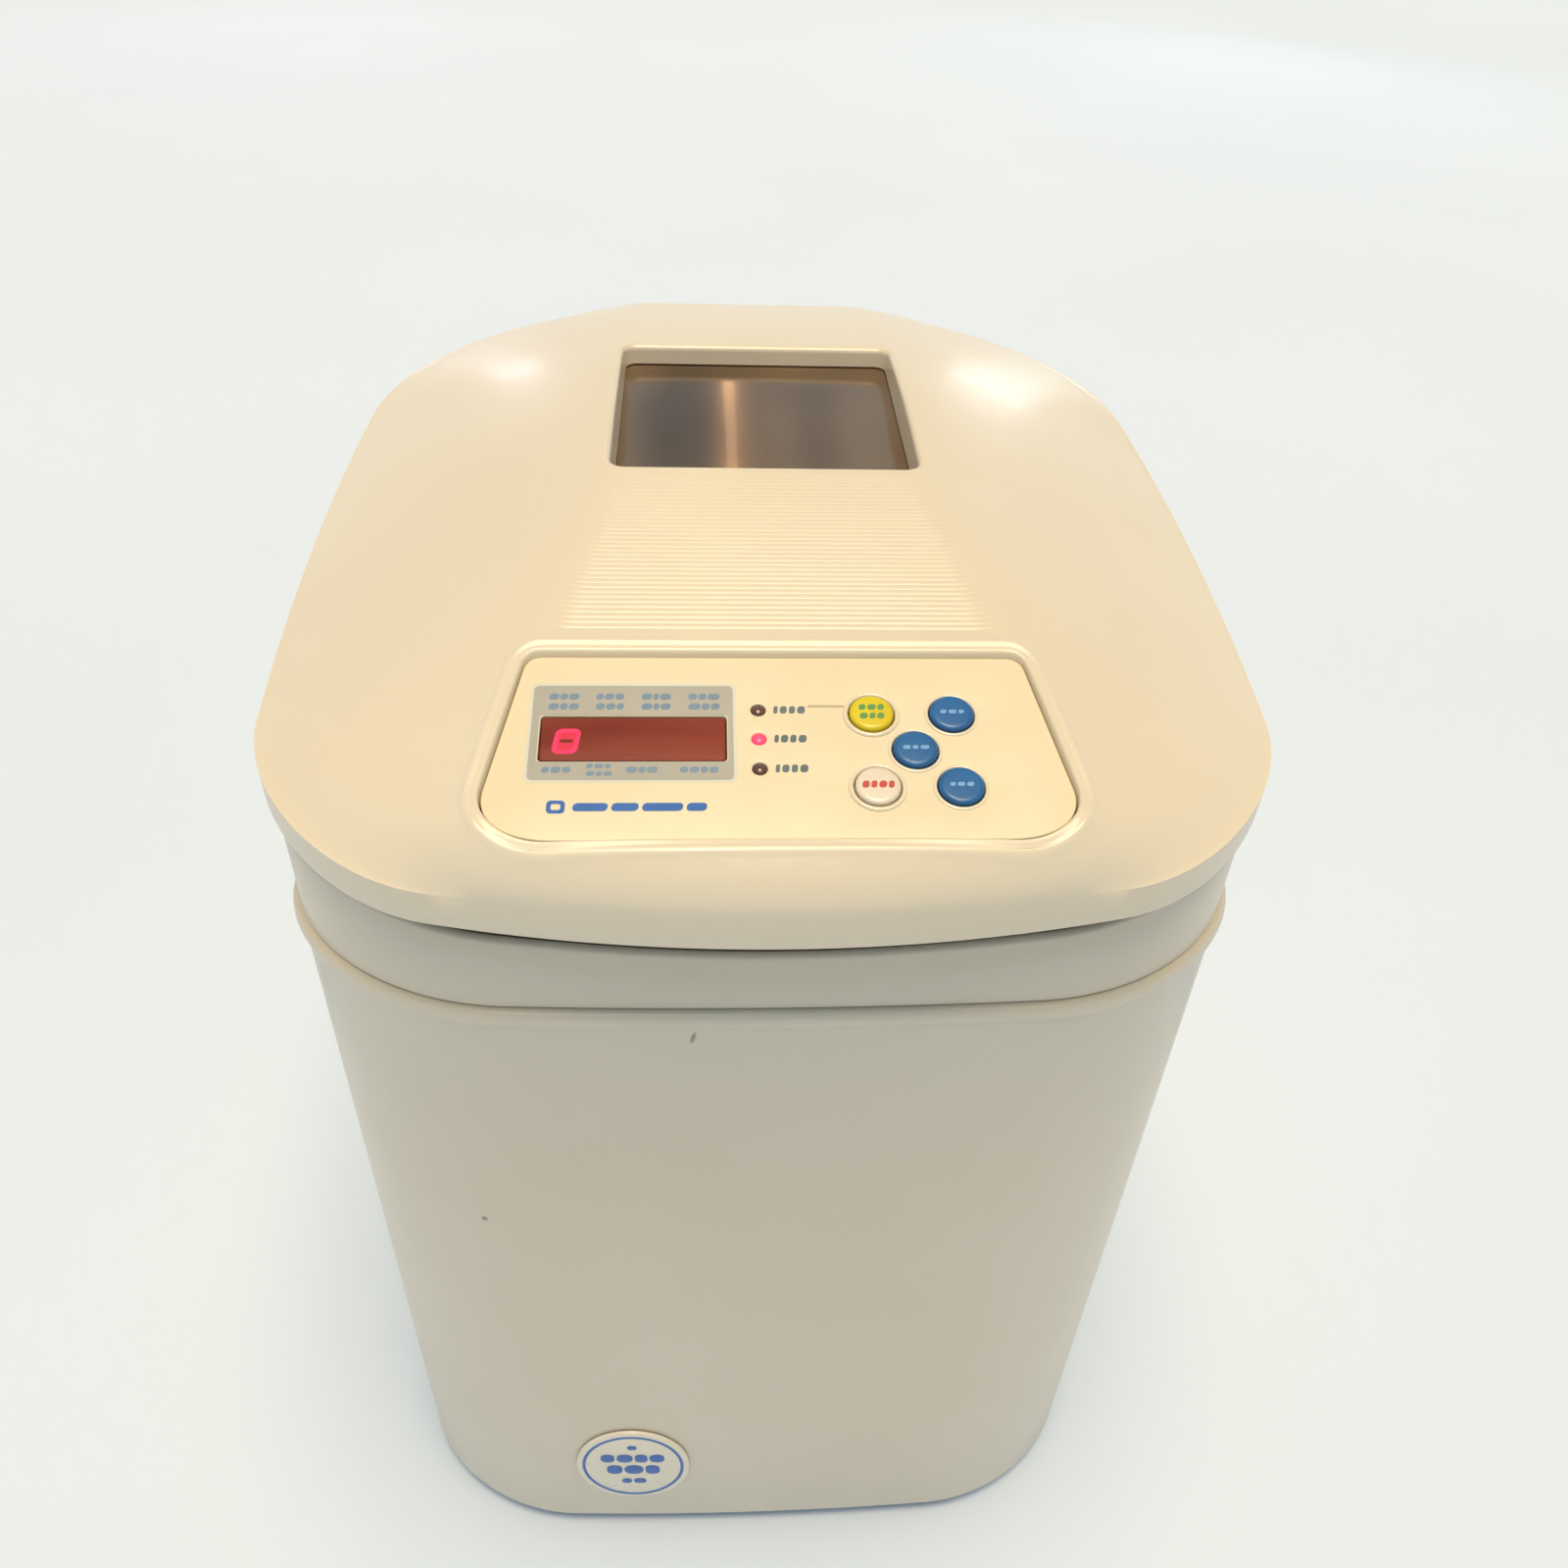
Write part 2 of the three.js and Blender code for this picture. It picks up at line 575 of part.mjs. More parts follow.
function ovenChamber() {
  const tub = prism(ovenOpening(), OVEN.floor, flangeBottom + SHEET);
  const flange = prism(ovenOpening(OVEN.flange), flangeBottom, flangeBottom + SHEET);
  const hollow = prism(ovenOpening(-SHEET), OVEN.floor + SHEET, DECK_TOP + 1);
  const legHoles = [-1, 1].map((side) =>
    cylinderY(ELEMENT.radius + 1, ovenFront - 5, ovenFront + 5, side * ELEMENT.legX, ELEMENT.z),
  );
  const sensorHole = cylinderY(SENSOR.radius + 0.5, ovenFront - 5, ovenFront + 5, SENSOR.x, SENSOR.z);
  const shaftHole = cylinder(SHAFT + 2, 0, OVEN.floor + 5, 0, OVEN.y);
  return cut(join(tub, flange), hollow, shaftHole, sensorHole, ...legHoles);
}
add("oven_chamber", STEEL, ovenChamber());

function heatingElement() {
  const { halfWidth, halfDepth, bend, legX, legLength, z } = ELEMENT;
  const legEnd = ovenFront - legLength;
  const front = OVEN.y - halfDepth;
  const loop = roundedRectangle(halfWidth, front, OVEN.y + halfDepth, bend, 3);
  const right = loop.slice(0, loop.length / 2).map(([x, y]) => [x, y, z]);
  const left = loop.slice(loop.length / 2).map(([x, y]) => [x, y, z]);
  const leg = (side) => [
    [side * legX, legEnd, z],
    [side * legX, front - 16, z],
    [side * (legX + 2), front - 4, z],
    [side * (legX + 9), front, z],
  ];
  return wire([...leg(1), ...right, ...left, ...leg(-1).reverse()], ELEMENT.radius, 56);
}
add("heating_element", DARK, heatingElement());

function temperatureSensor() {
  const { radius, x, z, inside, outside } = SENSOR;
  const probe = cylinderY(radius, ovenFront - outside, ovenFront + inside, x, z);
  const collar = cylinderY(radius + 3, ovenFront - 4, ovenFront - GAP, x, z);
  return join(probe, collar);
}
add("temperature_sensor", COPPER, temperatureSensor());

// Spring clips that grip the pan's base ring from both sides.
function panClip(side) {
  const near = PAN_BASE.outer + CLIP.gap;
  const floor = OVEN.floor + SHEET + GAP;
  const profile = [
    [near + 14, floor], [near + 14, floor + 1.2], [near + 5.2, floor + 1.2], [near + 1.6, floor + 9],
    [near + 3.6, floor + CLIP.height - 0.4], [near + 2.4, floor + CLIP.height], [near, floor + 9.2],
    [near + 3.8, floor],
  ];
  const upright = new THREE.Matrix4().makeRotationX(Math.PI / 2);
  const strip = prism(profile, -CLIP.width / 2, CLIP.width / 2).transform(upright.elements);
  return (side > 0 ? strip : strip.mirror([1, 0, 0])).translate([0, OVEN.y, 0]);
}
add("pan_clip_left", STEEL, panClip(-1));
add("pan_clip_right", STEEL, panClip(1));

const bearingTop = OVEN.floor - 4;
const bearingBottom = CHASSIS.bottom - 10;
const collarTop = chassisTop + GAP + 3;
add(
  "shaft_bearing",
  DARK,
  turned(
    [
      [BORE, bearingBottom], [BEARING.radius, bearingBottom], [BEARING.radius, chassisTop + GAP],
      [BEARING.collar, chassisTop + GAP], [BEARING.collar, collarTop], [BEARING.neck, collarTop],
      [BEARING.neck, bearingTop], [BORE, bearingTop], [BORE, bearingBottom],
    ],
    0, OVEN.y,
  ),
);

const couplerTop = COUPLER.bottom + COUPLER.disc;
const wingBottom = couplerTop + 1.6;
add("drive_shaft", STEEL, cylinder(SHAFT, PULLEY.bottom - 10, couplerTop + 1, 0, OVEN.y));

// A grooved pulley with a hub, between two low flanges that keep the belt on.
function pulley(groove, y, sides) {
  const { bottom, height, flange, lip } = PULLEY;
  const top = bottom + height;
  const hub = Math.min(groove - 1, 10);
  const rim = groove + flange;
  return turned(
    [
      [BORE, bottom - 4], [hub, bottom - 4], [hub, bottom], [rim, bottom], [rim, bottom + lip],
      [groove, bottom + lip], [groove, top - lip], [rim, top - lip], [rim, top], [hub, top], [hub, top + 1],
      [BORE, top + 1], [BORE, bottom - 4],
    ],
    0, y, sides,
  );
}
add("drive_pulley", DARK, pulley(PULLEY.large, OVEN.y, 32));

function driveCoupler() {
  const disc = ring(BORE, COUPLER.radius, COUPLER.bottom, couplerTop, 0, OVEN.y);
  const lugs = [-1, 1].map((side) => {
    const y = OVEN.y + side * 8.5;
    return box(-5, 5, y - 3.5, y + 3.5, couplerTop - 1, couplerTop + COUPLER.lug);
  });
  return join(disc, ...lugs);
}
add("drive_coupler", STEEL, driveCoupler());

// The belt's outline: two arcs about the pulleys and the straight runs between them.
function beltOutline(extra) {
  const distance = OVEN.y - MOTOR.y;
  const tilt = -Math.asin((PULLEY.large - PULLEY.small) / distance);
  const arc = (y, radius, from, to, steps) =>
    Array.from({ length: steps + 1 }, (_, i) => {
      const angle = from + ((to - from) * i) / steps;
      return [radius * Math.cos(angle), y + radius * Math.sin(angle)];
    });
  return [
    ...arc(OVEN.y, PULLEY.large + extra, tilt, Math.PI - tilt, 24),
    ...arc(MOTOR.y, PULLEY.small + extra, Math.PI - tilt, 2 * Math.PI + tilt, 8),
  ];
}
const beltBottom = PULLEY.bottom + (PULLEY.height - BELT.width) / 2;
add(
  "drive_belt",
  RUBBER,
  cut(
    prism(beltOutline(BELT.gap + BELT.thickness), beltBottom, beltBottom + BELT.width),
    prism(beltOutline(BELT.gap), beltBottom - 1, beltBottom + BELT.width + 1),
  ),
);

const motorTop = MOTOR.bottom + MOTOR.height;

function motorBody() {
  const can = cylinder(MOTOR.radius, MOTOR.bottom, motorTop, 0, MOTOR.y, 32);
  const stack = box(-36, 36, MOTOR.y - 30, MOTOR.y + 30, MOTOR.bottom + 16, motorTop - 16);
  const foot = box(-44, 44, MOTOR.y - 14, MOTOR.y + 14, chassisTop + GAP, MOTOR.bottom + 2);
  return cut(join(can, stack, foot), cylinder(BORE + 0.3, 0, 300, 0, MOTOR.y));
}
add("motor_body", COPPER, motorBody());
add("motor_shaft", STEEL, cylinder(SHAFT, PULLEY.bottom - 6, motorTop + 18, 0, MOTOR.y));
add("motor_pulley", DARK, pulley(PULLEY.small, MOTOR.y, 16));

function motorFan() {
  const bottom = motorTop + 4;
  const hub = cylinder(9, bottom, bottom + 10, 0, 0, 20);
  const blade = box(6, 28, -0.9, 0.9, bottom + 1, bottom + 9);
  const blades = Array.from({ length: 8 }, (_, i) => blade.rotate([0, 0, i * 45]));
  return cut(join(hub, ...blades), cylinder(BORE, 0, 300)).translate([0, MOTOR.y, 0]);
}
add("motor_fan", DARK, motorFan());

add("motor_capacitor", DARK, cylinder(14, baseTop + GAP, baseTop + 44, -70, MOTOR.y + 16));
const boardZ = POWER_BOARD.z + POWER_BOARD.thickness;
const boardBack = POWER_BOARD.front + POWER_BOARD.depth;
add(
  "power_board",
  BOARD,
  box(-POWER_BOARD.halfWidth, POWER_BOARD.halfWidth, POWER_BOARD.front, boardBack, POWER_BOARD.z, boardZ),
);

function transformer() {
  const bottom = boardZ + GAP;
  const front = POWER_BOARD.front + 12;
  const core = box(-46, -6, front + 6, front + 44, bottom, bottom + 26);
  const winding = box(-40, -12, front, front + 50, bottom + 3, bottom + 23);
  return join(core, winding);
}
add("transformer", COPPER, transformer());

// ---------- Bread pan and paddle ----------
const panOutline = (level, grow = 0) => {
  const inset = PAN_TAPER * (1 - level) - grow;
  const radius = PAN.bottomRadius + (PAN.topRadius - PAN.bottomRadius) * level + grow;
  const halfDepth = PAN.topHalfDepth - inset;
  return roundedRectangle(PAN.topHalfWidth - inset, OVEN.y - halfDepth, OVEN.y + halfDepth, radius);
};

// An upright ear on the pan's rim, pierced for the end of the bail.
const bailZ = PAN.rim + BAIL.pivotAboveRim;
const EAR = { inside: PAN.topHalfWidth + PAN.lip - 0.6, thickness: 2.2, halfWidth: 7, drop: 14, above: 5 };
function panEar(side) {
  const { inside, thickness, halfWidth, drop, above } = EAR;
  const [front, back] = [OVEN.y - halfWidth, OVEN.y + halfWidth];
  const plate = box(inside, inside + thickness, front, back, PAN.rim - drop, bailZ + above);
  const hole = cylinderX(BAIL.wire + 0.4, inside - 5, inside + 5, OVEN.y, bailZ);
  const made = cut(plate, hole);
  return side > 0 ? made : made.mirror([1, 0, 0]);
}

const PAN_BEARING = { neck: SHAFT + 4, flange: SHAFT + 8, reach: 4 };

function breadPan() {
  const { bottom, wall, lip } = PAN;
  const outside = loft([atHeight(panOutline(0), bottom), atHeight(panOutline(1), PAN.rim)]);
  const inside = loft([
    atHeight(panOutline(0, -wall), bottom + wall),
    atHeight(panOutline(1, -wall), PAN.rim + 0.2),
  ]);
  const rim = prism(panOutline(1, lip), PAN.rim - 2.4, PAN.rim);
  const above = prism(panOutline(1, -wall), PAN.rim - 0.5, PAN.rim + 5);
  const shaftHole = cylinder(PAN_BEARING.neck + 0.4, bottom - 5, bottom + 5, 0, OVEN.y);
  return cut(join(outside, rim, panEar(-1), panEar(1)), inside, above, shaftHole);
}
add("bread_pan", COATED, breadPan());
add(
  "pan_base_ring",
  STEEL,
  ring(
    PAN_BASE.outer - PAN_BASE.wall, PAN_BASE.outer,
    PAN.bottom - PAN_BASE.height, PAN.bottom - GAP, 0, OVEN.y, 28,
  ),
);
const { neck, flange, reach } = PAN_BEARING;
add(
  "pan_bearing",
  STEEL,
  turned(
    [
      [BORE, PAN.bottom - reach], [flange, PAN.bottom - reach], [flange, PAN.bottom - GAP],
      [neck, PAN.bottom - GAP], [neck, PAN.bottom + reach], [BORE, PAN.bottom + reach],
      [BORE, PAN.bottom - reach],
    ],
    0, OVEN.y,
  ),
);

// A wire bail folded forwards over the pan, with a straight pin at each end that turns in an ear.
function panHandle() {
  const { halfSpan, reach, bend, wire: radius } = BAIL;
  const y = (ahead) => OVEN.y - ahead;
  const side = (s) => [
    [s * halfSpan, y(-radius), bailZ],
    [s * halfSpan, y(reach * 0.5), bailZ],
    [s * halfSpan, y(reach - bend), bailZ],
    [s * (halfSpan - bend * 0.3), y(reach - bend * 0.3), bailZ],
    [s * (halfSpan - bend), y(reach), bailZ],
  ];
  const bow = wire([...side(1), [0, y(reach), bailZ], ...side(-1).reverse()], radius, 44);
  const pins = [-1, 1].map((s) => {
    const ends = [s * (EAR.inside - 1), s * halfSpan];
    return cylinderX(radius, Math.min(...ends), Math.max(...ends), y(0), bailZ);
  });
  return join(bow, ...pins);
}
add("pan_handle", STEEL, panHandle());

// The pan's shaft: a wing below that the coupler's lugs turn, and a flat at the top that turns the paddle.
const shaftTop = PAN.bottom + 33;

function panShaft() {
  const wing = box(-13, 13, OVEN.y - 2.8, OVEN.y + 2.8, wingBottom, wingBottom + 6);
  const rod = cylinder(SHAFT, wingBottom, shaftTop, 0, OVEN.y);
  return cut(join(wing, rod), box(FLAT, 20, OVEN.y - 20, OVEN.y + 20, PADDLE.bottom - 1, shaftTop + 5));
}
add("pan_shaft", STEEL, panShaft());

function kneadingPaddle() {
  const { bottom, hubHeight, hub, reach, blade, thickness } = PADDLE;
  const shape = new THREE.Shape();
  shape.moveTo(0, bottom);
  shape.lineTo(reach - 4, bottom);
  shape.quadraticCurveTo(reach, bottom, reach, bottom + 5);
  shape.quadraticCurveTo(reach - 3, bottom + blade, reach - 16, bottom + blade);
  shape.quadraticCurveTo(reach - 26, bottom + blade - 6, hub, bottom + hubHeight - 4);
  shape.lineTo(0, bottom + hubHeight - 4);
  const fin = new THREE.ExtrudeGeometry(shape, { depth: thickness, bevelEnabled: false, curveSegments: 6 });
  fin.rotateX(Math.PI / 2).translate(0, OVEN.y + thickness / 2, 0);
  const bore = cut(
    cylinder(BORE, bottom - 5, bottom + hubHeight + 5, 0, OVEN.y),
    box(FLAT + GAP, 20, OVEN.y - 20, OVEN.y + 20, bottom - 6, bottom + hubHeight + 6),
  );
  const hubRings = [[hub, bottom], [hub, bottom + hubHeight - 2], [hub - 2, bottom + hubHeight]];
  const hubSolid = turned([[0, bottom], ...hubRings, [0, bottom + hubHeight]], 0, OVEN.y, 24);
  return cut(join(hubSolid, solid(fin)), bore);
}
add("kneading_paddle", COATED, kneadingPaddle());

// ---------- Lid ----------
const lidOutside = lidSolid(0, LID_BOTTOM, 0, [1, 0.985, 0.95, 0.84, 0.68, 0.48, 0.32]);
const glassTop = HEIGHT - WINDOW.depth;
const wellBottom = glassTop + GAP;

function windowWell() {
  const { halfWidth, front, back } = WINDOW;
  return box(-halfWidth - WALL, halfWidth + WALL, front - WALL, back + WALL, wellBottom, HEIGHT + 5);
}

const armTop = LID_EDGE + 1.1 - WALL;

function lidShell() {
  const inside = lidSolid(-WALL, LID_BOTTOM - 1, WALL, [1, 0.95, 0.8, 0.5, 0.2]);
  const panelWell = onPanel(
    prism(panelOutline(PANEL.lap - 1), panelBottom - GAP - PANEL.ledge, 10),
  ).intersect(lidOutside);
  const bosses = [-1, 1].map((side) => {
    const x = side * HINGE.x;
    return box(x - 9, x + 9, HINGE.y - 20, HINGE.y - 2, armTop + GAP, HEIGHT).intersect(lidOutside);
  });
  const body = join(cut(lidOutside, inside), windowWell().intersect(lidOutside), panelWell, ...bosses);
  const windowHole = box(-WINDOW.halfWidth, WINDOW.halfWidth, WINDOW.front, WINDOW.back, LID_EDGE, HEIGHT + 10);
  const pocket = onPanel(prism(panelOutline(0.5), panelBottom - GAP, 20));
  const through = onPanel(prism(panelOutline(-PANEL.lap), panelBottom - 10, 20));
  return cut(body, windowHole, pocket, through);
}
add("lid_shell", CREAM, lidShell());

const paneOutline = (grow) =>
  roundedRectangle(WINDOW.halfWidth + grow, WINDOW.front - grow, WINDOW.back + grow, WINDOW.corner, 3);
const glassBottom = glassTop - WINDOW.glass;
const sealBottom = glassBottom - GAP - SEAL.thickness;
const linerTop = sealBottom - GAP;
add("window_glass", GLASS, prism(paneOutline(WINDOW.lap), glassBottom, glassTop));
add(
  "window_seal",
  SILICONE,
  cut(
    prism(paneOutline(WINDOW.lap), sealBottom, glassBottom - GAP),
    prism(paneOutline(-SEAL.lap), sealBottom - 1, glassBottom),
  ),
);

// A pressed tray that closes the lid from below, domed up to the window over the oven.
const LINER = { bottom: LID_BOTTOM + 1, sheet: 1.5, inset: WALL + 2, mouth: 3, margin: 10 };
const linerDome = (z0, z1, grow) => {
  const edge = LINER.margin + grow;
  const top = roundedRectangle(
    WINDOW.halfWidth + edge, WINDOW.front - edge, WINDOW.back + edge, edge + WINDOW.corner,
  );
  return loft([atHeight(ovenOpening(grow - LINER.mouth), z0), atHeight(top, z1)]);
};

function lidLiner() {
  const { bottom, sheet, inset } = LINER;
  const flange = prism(outline(LID, -inset), bottom, bottom + sheet);
  const dome = linerDome(bottom, linerTop, 0);
  const hollow = linerDome(bottom - 0.01, linerTop - sheet, -sheet);
  const below = prism(ovenOpening(-LINER.mouth - sheet), bottom - 1, bottom + 0.2);
  const view = prism(paneOutline(-2), bottom - 1, linerTop + 1);
  const notches = [-1, 1].map((side) =>
    box(side * HINGE.x - 9.5, side * HINGE.x + 9.5, HINGE.y - 10.5, HINGE.y + 20, bottom - 1, bottom + 4),
  );
  return cut(join(flange, dome), hollow, below, view, ...notches);
}
add("lid_liner", STEEL, lidLiner());

const GASKET = { bottom: DECK_TOP + 0.4, inside: 3, outside: 9 };
add(
  "lid_gasket",
  SILICONE,
  cut(
    prism(ovenOpening(GASKET.outside), GASKET.bottom, LINER.bottom - GAP),
    prism(ovenOpening(GASKET.inside), GASKET.bottom - 1, LINER.bottom),
  ),
);

// ---------- Hinges ----------
function hingeArm(side) {
  const x = side * HINGE.x;
  const { halfWidth, knuckle, pin, y, z } = HINGE;
  const barrel = cylinderX(knuckle, x - halfWidth, x + halfWidth, y, z, 20);
  const neck = box(x - halfWidth, x + halfWidth, y - 9, y - 2.5, z, armTop);
  const foot = box(x - halfWidth, x + halfWidth, y - 19, y - 2.5, LINER.bottom + LINER.sheet + GAP, armTop);
  return cut(join(barrel, neck, foot), cylinderX(pin + 0.4, x - 20, x + 20, y, z));
}

function hingeBracket(side) {
  const x = side * HINGE.x;
  const { halfWidth, ear, pin, y, z, knuckle } = HINGE;
  const inner = halfWidth + GAP;
  const bottom = NOTCH.bottom + GAP;
  const ears = [-1, 1].map((s) => {
    const [a, b] = s < 0 ? [x - inner - ear, x - inner] : [x + inner, x + inner + ear];
    return box(a, b, y - 5, y + 4, bottom, z + 5);
  });
  const tabBack = backAt(HOUSING, rimInside, HINGE.x + inner) - GAP;
  const tab = box(x - inner, x + inner, tabBack - 2, tabBack, SHELL_TOP + 5, z - knuckle - 0.5);
  const floor = box(x - inner - ear, x + inner + ear, tabBack - 2, y + 3, bottom, z - knuckle - 0.5);
  return cut(join(floor, tab, ...ears), cylinderX(pin + GAP, x - 20, x + 20, y, z));
}

for (const [name, side] of [["left", -1], ["right", 1]]) {
  const x = side * HINGE.x;
  const half = HINGE.halfWidth + GAP + HINGE.ear;
  add(`hinge_arm_${name}`, CREAM, hingeArm(side));
  add(`hinge_bracket_${name}`, STEEL, hingeBracket(side));
  add(`hinge_pin_${name}`, STEEL, cylinderX(HINGE.pin, x - half, x + half, HINGE.y, HINGE.z));
}

// ---------- Control panel ----------
const DISPLAY = { x: -31.3, y: 1.7, halfWidth: 20, halfHeight: 6.2 };
const LEDS = { x: -4.4, y: [9.6, 1.5, -6.6], radius: 1.4 };
const BUTTON = { radius: 4.8, flange: 1.2, rise: 1.3, travel: 0.8 };
const BUTTON_GAP = 1.3; // between the flanges of neighbours on the diagonal
const buttonPitch = 2 * (BUTTON.radius + BUTTON.flange) + BUTTON_GAP;
const PAD = { x: 29.15, y: -1.8, across: 0.665 * buttonPitch, up: 0.747 * buttonPitch };
const BUTTONS = [
  ["button_start", -1, 1, YELLOW],
  ["button_stop", -1, -1, WHITE],
  ["button_timer_up", 1, 1, BLUE],
  ["button_select", 0, 0, BLUE],
  ["button_timer_down", 1, -1, BLUE],
].map(([name, column, row, material]) => {
  return [name, PAD.x + column * PAD.across, PAD.y + row * PAD.up, material];
});
const BOSSES = [[-51.5, -15.5], [-4, -16], [-4, 17], [47.5, 0]];
const moduleHeight = 6;
const boardTop = panelBottom - GAP - moduleHeight - GAP;

const slab = (x, y, halfWidth, halfHeight, z0, z1) =>
  box(x - halfWidth, x + halfWidth, y - halfHeight, y + halfHeight, z0, z1);

function controlPanel() {
  const plate = prism(panelOutline(), panelBottom, panelTop);
  const bosses = BOSSES.map(([x, y]) => cylinder(2.2, boardTop + GAP, panelBottom + 0.5, x, y, 8));
  const displayHole = slab(DISPLAY.x, DISPLAY.y, DISPLAY.halfWidth, DISPLAY.halfHeight, -20, 20);
  const ledHoles = LEDS.y.map((y) => cylinder(LEDS.radius + 0.3, -20, 20, LEDS.x, y, 10));
  const buttonHoles = BUTTONS.map(([, x, y]) => cylinder(BUTTON.radius + 0.4, -20, 20, x, y, 16));
  return onPanel(cut(join(plate, ...bosses), displayHole, ...ledHoles, ...buttonHoles));
}
add("control_panel", OVERLAY, controlPanel());
add(
  "display_lens",
  RED,
  onPanel(
    slab(
      DISPLAY.x, DISPLAY.y, DISPLAY.halfWidth - GAP, DISPLAY.halfHeight - GAP,
      panelBottom + 0.2, panelTop - 0.2,
    ),
  ),
);
add(
  "display_module",
  DARK,
  onPanel(
    slab(
      DISPLAY.x, DISPLAY.y, DISPLAY.halfWidth + 1, DISPLAY.halfHeight + 1.5,
      boardTop + GAP, panelBottom - GAP,
    ),
  ),
);
add("control_board", BOARD, onPanel(box(-54, 50, -18.5, 19.5, boardTop - 1.6, boardTop)));
["light", "medium", "dark"].forEach((name, i) => {
  const lamp = cylinder(LEDS.radius, boardTop + GAP, panelTop + 0.3, LEDS.x, LEDS.y[i], 10);
  add(`led_${name}`, name === "medium" ? LED_ON : LED_OFF, onPanel(lamp));
});

// A domed cap with a flange that keeps it under the panel and a stem that reaches the board's switch.
for (const [name, x, y, material] of BUTTONS) {
  const { radius, flange, rise, travel } = BUTTON;
  const under = panelBottom - GAP;
  const stemEnd = boardTop + travel + 0.5;
  const cap = turned(
    [
      [0, stemEnd], [1.8, stemEnd], [1.8, under - 1.2], [radius + flange, under - 1.2],
      [radius + flange, under], [radius, under], [radius, panelTop + rise * 0.5],
      [radius - 0.7, panelTop + rise * 0.9], [0, panelTop + rise],
    ],
    x, y, 16,
  );
  add(name, material, onPanel(cap));
}

export default machine;
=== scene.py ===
import math

import bmesh
import bpy
import numpy as np
from mathutils import Matrix, Vector
from mathutils.geometry import delaunay_2d_cdt


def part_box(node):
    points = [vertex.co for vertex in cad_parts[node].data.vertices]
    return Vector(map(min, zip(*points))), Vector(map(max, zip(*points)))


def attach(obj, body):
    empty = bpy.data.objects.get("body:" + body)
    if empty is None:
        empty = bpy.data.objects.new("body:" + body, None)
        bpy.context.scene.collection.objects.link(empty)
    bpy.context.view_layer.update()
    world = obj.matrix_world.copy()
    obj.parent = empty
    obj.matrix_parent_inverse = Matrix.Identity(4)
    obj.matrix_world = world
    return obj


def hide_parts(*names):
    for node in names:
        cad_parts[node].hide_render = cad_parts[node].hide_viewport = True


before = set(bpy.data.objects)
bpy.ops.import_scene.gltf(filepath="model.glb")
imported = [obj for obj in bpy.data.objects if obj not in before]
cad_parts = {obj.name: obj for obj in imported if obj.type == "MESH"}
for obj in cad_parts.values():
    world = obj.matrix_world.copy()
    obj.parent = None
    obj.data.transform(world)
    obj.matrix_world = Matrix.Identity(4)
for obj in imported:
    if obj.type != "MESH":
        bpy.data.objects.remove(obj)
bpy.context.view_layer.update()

MM = 0.001
scene = bpy.context.scene


def box_mm(node):
    """Lowest and highest corner of a CAD node, in millimetres."""
    low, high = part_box(node)
    return np.array(low) / MM, np.array(high) / MM


# ---------- Camera and lights -----------------
CAMERA = {"place": (-15.77, -361.73, 518.84), "yaw": -4.331, "pitch": 40.410, "roll": 2.648}
LENS = 31.51
SENSOR = 36.0
SHIFT = (-0.0008, 0.0143)


def make_camera():
    yaw, pitch, roll = (math.radians(CAMERA[k]) for k in ("yaw", "pitch", "roll"))
    ahead = Vector((-math.sin(yaw) * math.cos(pitch), math.cos(yaw) * math.cos(pitch), -math.sin(pitch)))
    right = Vector((math.cos(yaw), math.sin(yaw), 0))
    up = right.cross(ahead)
    rolled_right = right * math.cos(roll) + up * math.sin(roll)
    rolled_up = up * math.cos(roll) - right * math.sin(roll)
    data = bpy.data.cameras.new("camera")
    data.sensor_width = SENSOR
    data.lens = LENS
    data.shift_x, data.shift_y = SHIFT
    camera = bpy.data.objects.new("camera", data)
    turn = Matrix((rolled_right, rolled_up, -ahead)).transposed().to_4x4()
    camera.matrix_world = Matrix.Translation(Vector(CAMERA["place"]) * MM) @ turn
    scene.collection.objects.link(camera)
    scene.camera = camera


def area_light(name, place, target, size, power, colour):
    data = bpy.data.lights.new(name, "AREA")
    data.shape = "RECTANGLE"
    data.size, data.size_y = size
    data.energy = power
    data.color = colour
    lamp = bpy.data.objects.new(name, data)
    lamp.location = place
    lamp.rotation_euler = (Vector(target) - Vector(place)).to_track_quat("-Z", "Y").to_euler()
    scene.collection.objects.link(lamp)


def sun(name, azimuth, elevation, spread, strength, colour):
    """An even light from a direction. Azimuth runs from the front (-Y) towards the right (+X)."""
    data = bpy.data.lights.new(name, "SUN")
    data.angle = math.radians(spread)
    data.energy = strength
    data.color = colour
    lamp = bpy.data.objects.new(name, data)
    turn, rise = math.radians(azimuth), math.radians(elevation)
    source = Vector((math.sin(turn) * math.cos(rise), -math.cos(turn) * math.cos(rise), math.sin(rise)))
    lamp.rotation_euler = (-source).to_track_quat("-Z", "Y").to_euler()
    scene.collection.objects.link(lamp)


def make_lights():
    world = bpy.data.worlds.new("studio")
    world.use_nodes = True
    background = world.node_tree.nodes["Background"]
    background.inputs["Color"].default_value = (0.68, 0.84, 1.0, 1)
    background.inputs["Strength"].default_value = 0.24
    scene.world = world
    sun("key", 10, 84, 32, 3.15, (1.0, 0.80, 0.52))
    sun("front", -6, 64, 8, 0.42, (0.70, 0.88, 1.0))
    middle = (0, 0, 0.3)
    area_light("window_left", (-0.80, 2.45, 0.46), middle, (0.14, 0.05), 0.35, (0.80, 0.78, 1.0))
    area_light("window_right", (0.97, 2.40, 0.42), middle, (0.26, 0.09), 0.7, (0.80, 0.90, 1.0))
    area_light("strip", (-0.02, 2.4, 2.1), middle, (0.05, 2.0), 1.6, (1.0, 0.64, 0.34))
    scene.view_settings.view_transform = "Standard"


